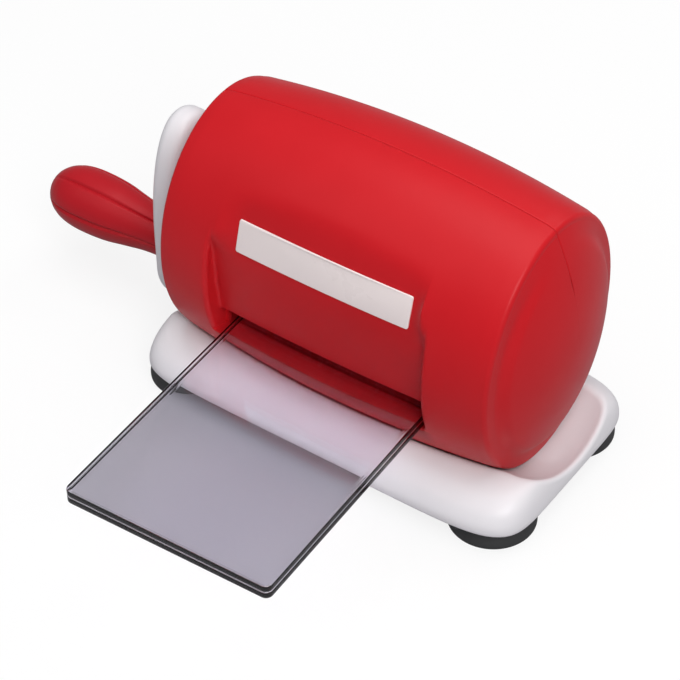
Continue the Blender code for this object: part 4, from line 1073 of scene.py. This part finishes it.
def makeArm():
    # the paddle's outline carried round its rolled edges, with hub and pin holes cut
    half, centre = (arm["outer"] - arm["inner"]) / 2, (arm["outer"] + arm["inner"]) / 2
    rolled = [(arm["edge"] + arm["flat"], -half)]
    rolled += [(inset, x - half) for inset, x in arc(arm["edge"], arm["edgeSteps"])]
    profile = rolled + [(inset, -x) for inset, x in reversed(rolled)]
    rings = [[(x - centre, y, z) for y, z in armOutline(inset)] for inset, x in profile]
    item = tubeObject("crankPaddle", rings, "white_plastic", 35)
    seat, past = arm["outer"] - arm["recessDepth"], arm["past"]
    for operation, start, end, height, radius in (
        ("UNION", centre, arm["bossEnd"], arm["hub"], arm["bossRadius"]),
        ("DIFFERENCE", arm["bossEnd"] - past, seat + arm["overlap"], arm["hub"], arm["boreRadius"]),
        ("DIFFERENCE", arm["outer"] + past, seat, arm["hub"], arm["recessRadius"]),
        ("DIFFERENCE", arm["outer"] + past, arm["inner"] - past, arm["bottom"], arm["pinRadius"]),
    ):
        combined(item, (-start, 0, height), (-end, 0, height), radius, operation)
    configured(item.modifiers.new("edges", "BEVEL"), width=arm["softening"], segments=2,
               limit_method="ANGLE", angle_limit=math.radians(arm["softenAngle"]))
    applied(item)
    shade(item.data, 35)
    dressed(item, "crank", "white_plastic", "crank_arm")


makeArm()
print("arm made")


# Geometry Nodes pieces
socketKinds = {float: "NodeSocketFloat", int: "NodeSocketInt", tuple: "NodeSocketVector"}


def geometryTree(name, sizes):
    # an empty tree with a named input for each size, and those inputs
    tree = bpy.data.node_groups.new(name, "GeometryNodeTree")
    tree.interface.new_socket(name="Geometry", in_out="OUTPUT", socket_type="NodeSocketGeometry")
    for label, size in sizes.items():
        tree.interface.new_socket(name=label, in_out="INPUT", socket_type=socketKinds[type(size)])
    return tree, tree.nodes.new("NodeGroupInput").outputs


def roundGrid(tree, rows, around):
    # a grid to be wrapped round an axis: its mesh, each point's share of the rows and its turn
    sheet = addNode(tree, "GeometryNodeMeshGrid", {
        "Size X": 1.0, "Size Y": 1.0, "Vertices X": rows, "Vertices Y": plus(around, 1.0)})
    place = flow(tree, "GeometryNodeInputPosition")
    parts = addNode(tree, "ShaderNodeSeparateXYZ", {0: place}).outputs
    return sheet.outputs["Mesh"], plus(parts["X"], 0.5), plus(parts["Y"], 0.5)


def circled(radius, angle):
    return times(radius, compute("COSINE", angle)), times(radius, compute("SINE", angle))


def setPlace(tree, geometry, x, y, z):
    spot = flow(tree, "ShaderNodeCombineXYZ", {"X": x, "Y": y, "Z": z})
    return flow(tree, "GeometryNodeSetPosition", {"Geometry": geometry, "Position": spot})


def endTree(tree, geometry, slot):
    # the two nodes that every tree ends in
    plain = flow(tree, "GeometryNodeRealizeInstances", {"Geometry": geometry})
    values = {"Geometry": plain, "Material": finishes[slot]}
    addNode(tree, "NodeGroupOutput", {0: flow(tree, "GeometryNodeSetMaterial", values)})


def grown(tree, sizes, slot, angle):
    # the tree's result at these sizes as one plain mesh
    name = tree.name
    item = placed(name + "Tree", bpy.data.meshes.new(name + "Tree"))
    nodes = item.modifiers.new("nodes", "NODES")
    nodes.node_group = tree
    for socket in tree.interface.items_tree:
        if socket.in_out == "INPUT":
            nodes[socket.identifier] = sizes[socket.name]
    mesh = applied(item).data
    bpy.data.objects.remove(item)
    mesh.name = name
    return finishMesh(name, mesh, slot, angle)


# Grip
grip = inMm({
    "start": 86.1, "length": 56.3, "radius": 11.55, "height": 19.36, "grooveDepth": 0.75,
    "boreRadius": 2.9, "boreDepth": 35.5, "past": 2.0,
}) | {
    "flutes": 6,
    # angle of the first groove from the top, towards the rear, in degrees
    "roll": 34,
    # half the width of a groove, as a share of the way to the next one, and how its sides ease
    "grooveWidth": 0.075, "grooveEase": 1.5,
    "rows": 110, "around": 180,
    # share of the length, share of the radius
    "shape": ((0.0, 0.655), (0.12, 0.69), (0.22, 0.73), (0.31, 0.80), (0.40, 0.875), (0.49, 0.95),
              (0.57, 0.985), (0.657, 1.0), (0.74, 0.989), (0.82, 0.93), (0.88, 0.828),
              (0.93, 0.677), (0.965, 0.501), (0.988, 0.30), (1.0, 0.0)),
    # share of the length, share of the groove's depth
    "fade": ((0.0, 0.6), (0.12, 1.0), (0.74, 1.0), (0.84, 0.75), (0.93, 0.3), (1.0, 0.0)),
}


def curveNode(tree, source, table):
    item = addNode(tree, "ShaderNodeFloatCurve", {"Value": source})
    points = item.mapping.curves[0].points
    points[0].location, points[1].location = table[0], table[-1]
    for at, value in table[1:-1]:
        points.new(at, value)
    item.mapping.update()
    return item.outputs[0]


def gripTree(sizes):
    # rows follow the teardrop's shape, columns the grooves between its flutes
    tree, size = geometryTree("flutedGrip", sizes)
    sheet, even, turn = roundGrid(tree, grip["rows"], size["Around"])
    # the rows crowd towards the round tip
    along = compute("SINE", times(even, quarterTurn))
    angle = plus(times(turn, 2 * math.pi), size["Roll"])
    pitch = times(turn, size["Flutes"])
    away = compute("ABSOLUTE", minus(pitch, compute("ROUND", pitch)))
    across = divide(away, size["Groove Width"])
    inside = compute("MAXIMUM", minus(1.0, times(across, across)), 0.0)
    depth = times(compute("POWER", inside, grip["grooveEase"]), size["Groove Depth"])
    cut = times(depth, curveNode(tree, along, grip["fade"]))
    wide = times(curveNode(tree, along, grip["shape"]), size["Radius"])
    up, side = circled(compute("MAXIMUM", minus(wide, cut), 0.0), angle)
    reach = plus(times(along, size["Length"]), size["Start"])
    moved = setPlace(tree, sheet, times(reach, -1.0), side, plus(up, size["Height"]))
    endTree(tree, moved, "grip_red_plastic")
    return tree


def makeGrip():
    start, height = grip["start"], grip["height"]
    sizes = {"Start": start, "Length": grip["length"], "Radius": grip["radius"], "Height": height,
             "Groove Depth": grip["grooveDepth"], "Groove Width": grip["grooveWidth"],
             "Roll": math.radians(grip["roll"]), "Flutes": grip["flutes"], "Around": grip["around"]}
    item = grown(gripTree(sizes), sizes, "grip_red_plastic", 60)
    with editing(item.data) as builder:
        # the flat end next to the arm
        bmesh.ops.holes_fill(builder, edges=[edge for edge in builder.edges if edge.is_boundary])
        bmesh.ops.recalc_face_normals(builder, faces=builder.faces)
    combined(item, (grip["past"] - start, 0, height), (-start - grip["boreDepth"], 0, height),
             grip["boreRadius"], "DIFFERENCE")
    shade(item.data, 45)
    dressed(item, "grip", "grip_red_plastic", "grip")


makeGrip()
print("grip made")


# Feet and screws: a section turned round Z and set on the points of a grid of places
corners = ("front_left", "front_right", "rear_left", "rear_right")
foot = {
    "around": 96,
    # the section's radius and height, from the stem's top to the middle of the cup
    "section": inMm((
        (0.0, 2.8), (4.1, 2.8), (4.4, 2.68), (4.5, 2.4), (4.5, -0.3), (10.4, -0.3), (11.1, -0.55),
        (11.75, -1.1), (12.3, -2.1), (13.1, -3.9), (14.0, -5.6), (14.6, -6.6), (14.8, -7.2),
        (14.78, -7.8), (14.5, -8.0), (13.6, -8.0), (13.2, -7.86), (10.6, -6.6), (7.4, -5.3),
        (3.8, -4.75), (0.0, -4.6))),
    # nodes, distances between the places across and along, their middle, and the shank's reach
    "sets": (("suctionCups", "foot", corners, inMm((122.2, 49.2)), inMm((0.0, -2.5, 0.0)), 0.0),),
}
screw = {
    "around": 48,
    # as with the feet, from the floor of the hexagonal socket to the shank's top
    "section": inMm((
        (0.0, -1.1), (1.05, -1.1), (1.05, -1.9), (1.15, -2.0), (2.5, -2.0), (2.75, -1.93),
        (2.93, -1.75), (3.0, -1.5), (3.0, -0.3), (1.5, -0.3), (1.5, -0.4), (1.1, 0.0), (0.0, 0.0))),
    # how many of its points are hexagonal, and how many rise with the shank
    "hexagonal": 4, "rising": 3,
    # as with the feet
    "sets": (
        ("coverScrews", "cover_screw", corners, inMm((50.0, 25.0)), (0.0, 0.0, 0.0), 6.0 * mm),
        ("frameScrews", "frame_screw", ("left", "right"), inMm((78.4, 0.0)), (0.0, 0.0, 0.0),
         4.4 * mm),
    ),
}


def indexed(tree, index, values):
    # the value that stands at the index
    item = addNode(tree, "GeometryNodeIndexSwitch", data_type="FLOAT")
    while len(item.index_switch_items) < len(values):
        item.index_switch_items.new()
    setInputs(item, {0: index} | {place + 1: value for place, value in enumerate(values)})
    return item.outputs[0]


def revolvedTree(name, kind, sizes, counts, slot):
    tree, size = geometryTree(name, sizes)
    section = kind["section"]
    count = len(section)
    sheet, even, turn = roundGrid(tree, count, size["Around"])
    row = compute("ROUND", times(even, count - 1))
    angle = times(turn, 2 * math.pi)
    radius = indexed(tree, row, [entry[0] for entry in section])
    height = indexed(tree, row, [entry[1] for entry in section])
    if "hexagonal" in kind:
        sixth = math.radians(60)
        side = minus(compute("MODULO", angle, sixth), sixth / 2)
        corner = divide(1.0, compute("COSINE", side))
        hexagon = indexed(tree, row, [float(index < kind["hexagonal"]) for index in range(count)])
        radius = times(radius, plus(times(minus(corner, 1.0), hexagon), 1.0))
        rises = count - kind["rising"]
        shank = indexed(tree, row, [float(index >= rises) for index in range(count)])
        height = plus(height, times(shank, size["Reach"]))
    piece = setPlace(tree, sheet, *circled(radius, angle), height)
    places = flow(tree, "GeometryNodeMeshGrid", {
        "Size X": size["Across"], "Size Y": size["Along"],
        "Vertices X": counts[0], "Vertices Y": counts[1]})
    moved = flow(tree, "GeometryNodeSetPosition", {"Geometry": places, "Offset": size["Centre"]})
    copies = flow(tree, "GeometryNodeInstanceOnPoints", {"Points": moved, "Instance": piece})
    endTree(tree, copies, slot)
    return tree


def makeSets(kind, slot, angle):
    for name, node, ends, (across, along), centre, reach in kind["sets"]:
        sizes = {"Across": across, "Along": along, "Reach": reach, "Around": kind["around"],
                 "Centre": centre}
        tree = revolvedTree(name, kind, sizes, (2, len(ends) // 2), slot)
        item = grown(tree, sizes, slot, angle)
        dressed(item, "housing", slot, *[f"{node}_{end}" for end in ends])


makeSets(foot, "black_rubber", 50)
makeSets(screw, "plated_steel", 35)
print("feet and screws made")


# Finishes of the nodes that stay
for part in frame["record"]["subparts"]:
    node = frame["nodes"][part["node"]]
    for slotEntry in node.material_slots:
        slotEntry.material = finishes[part["material_slot"]]
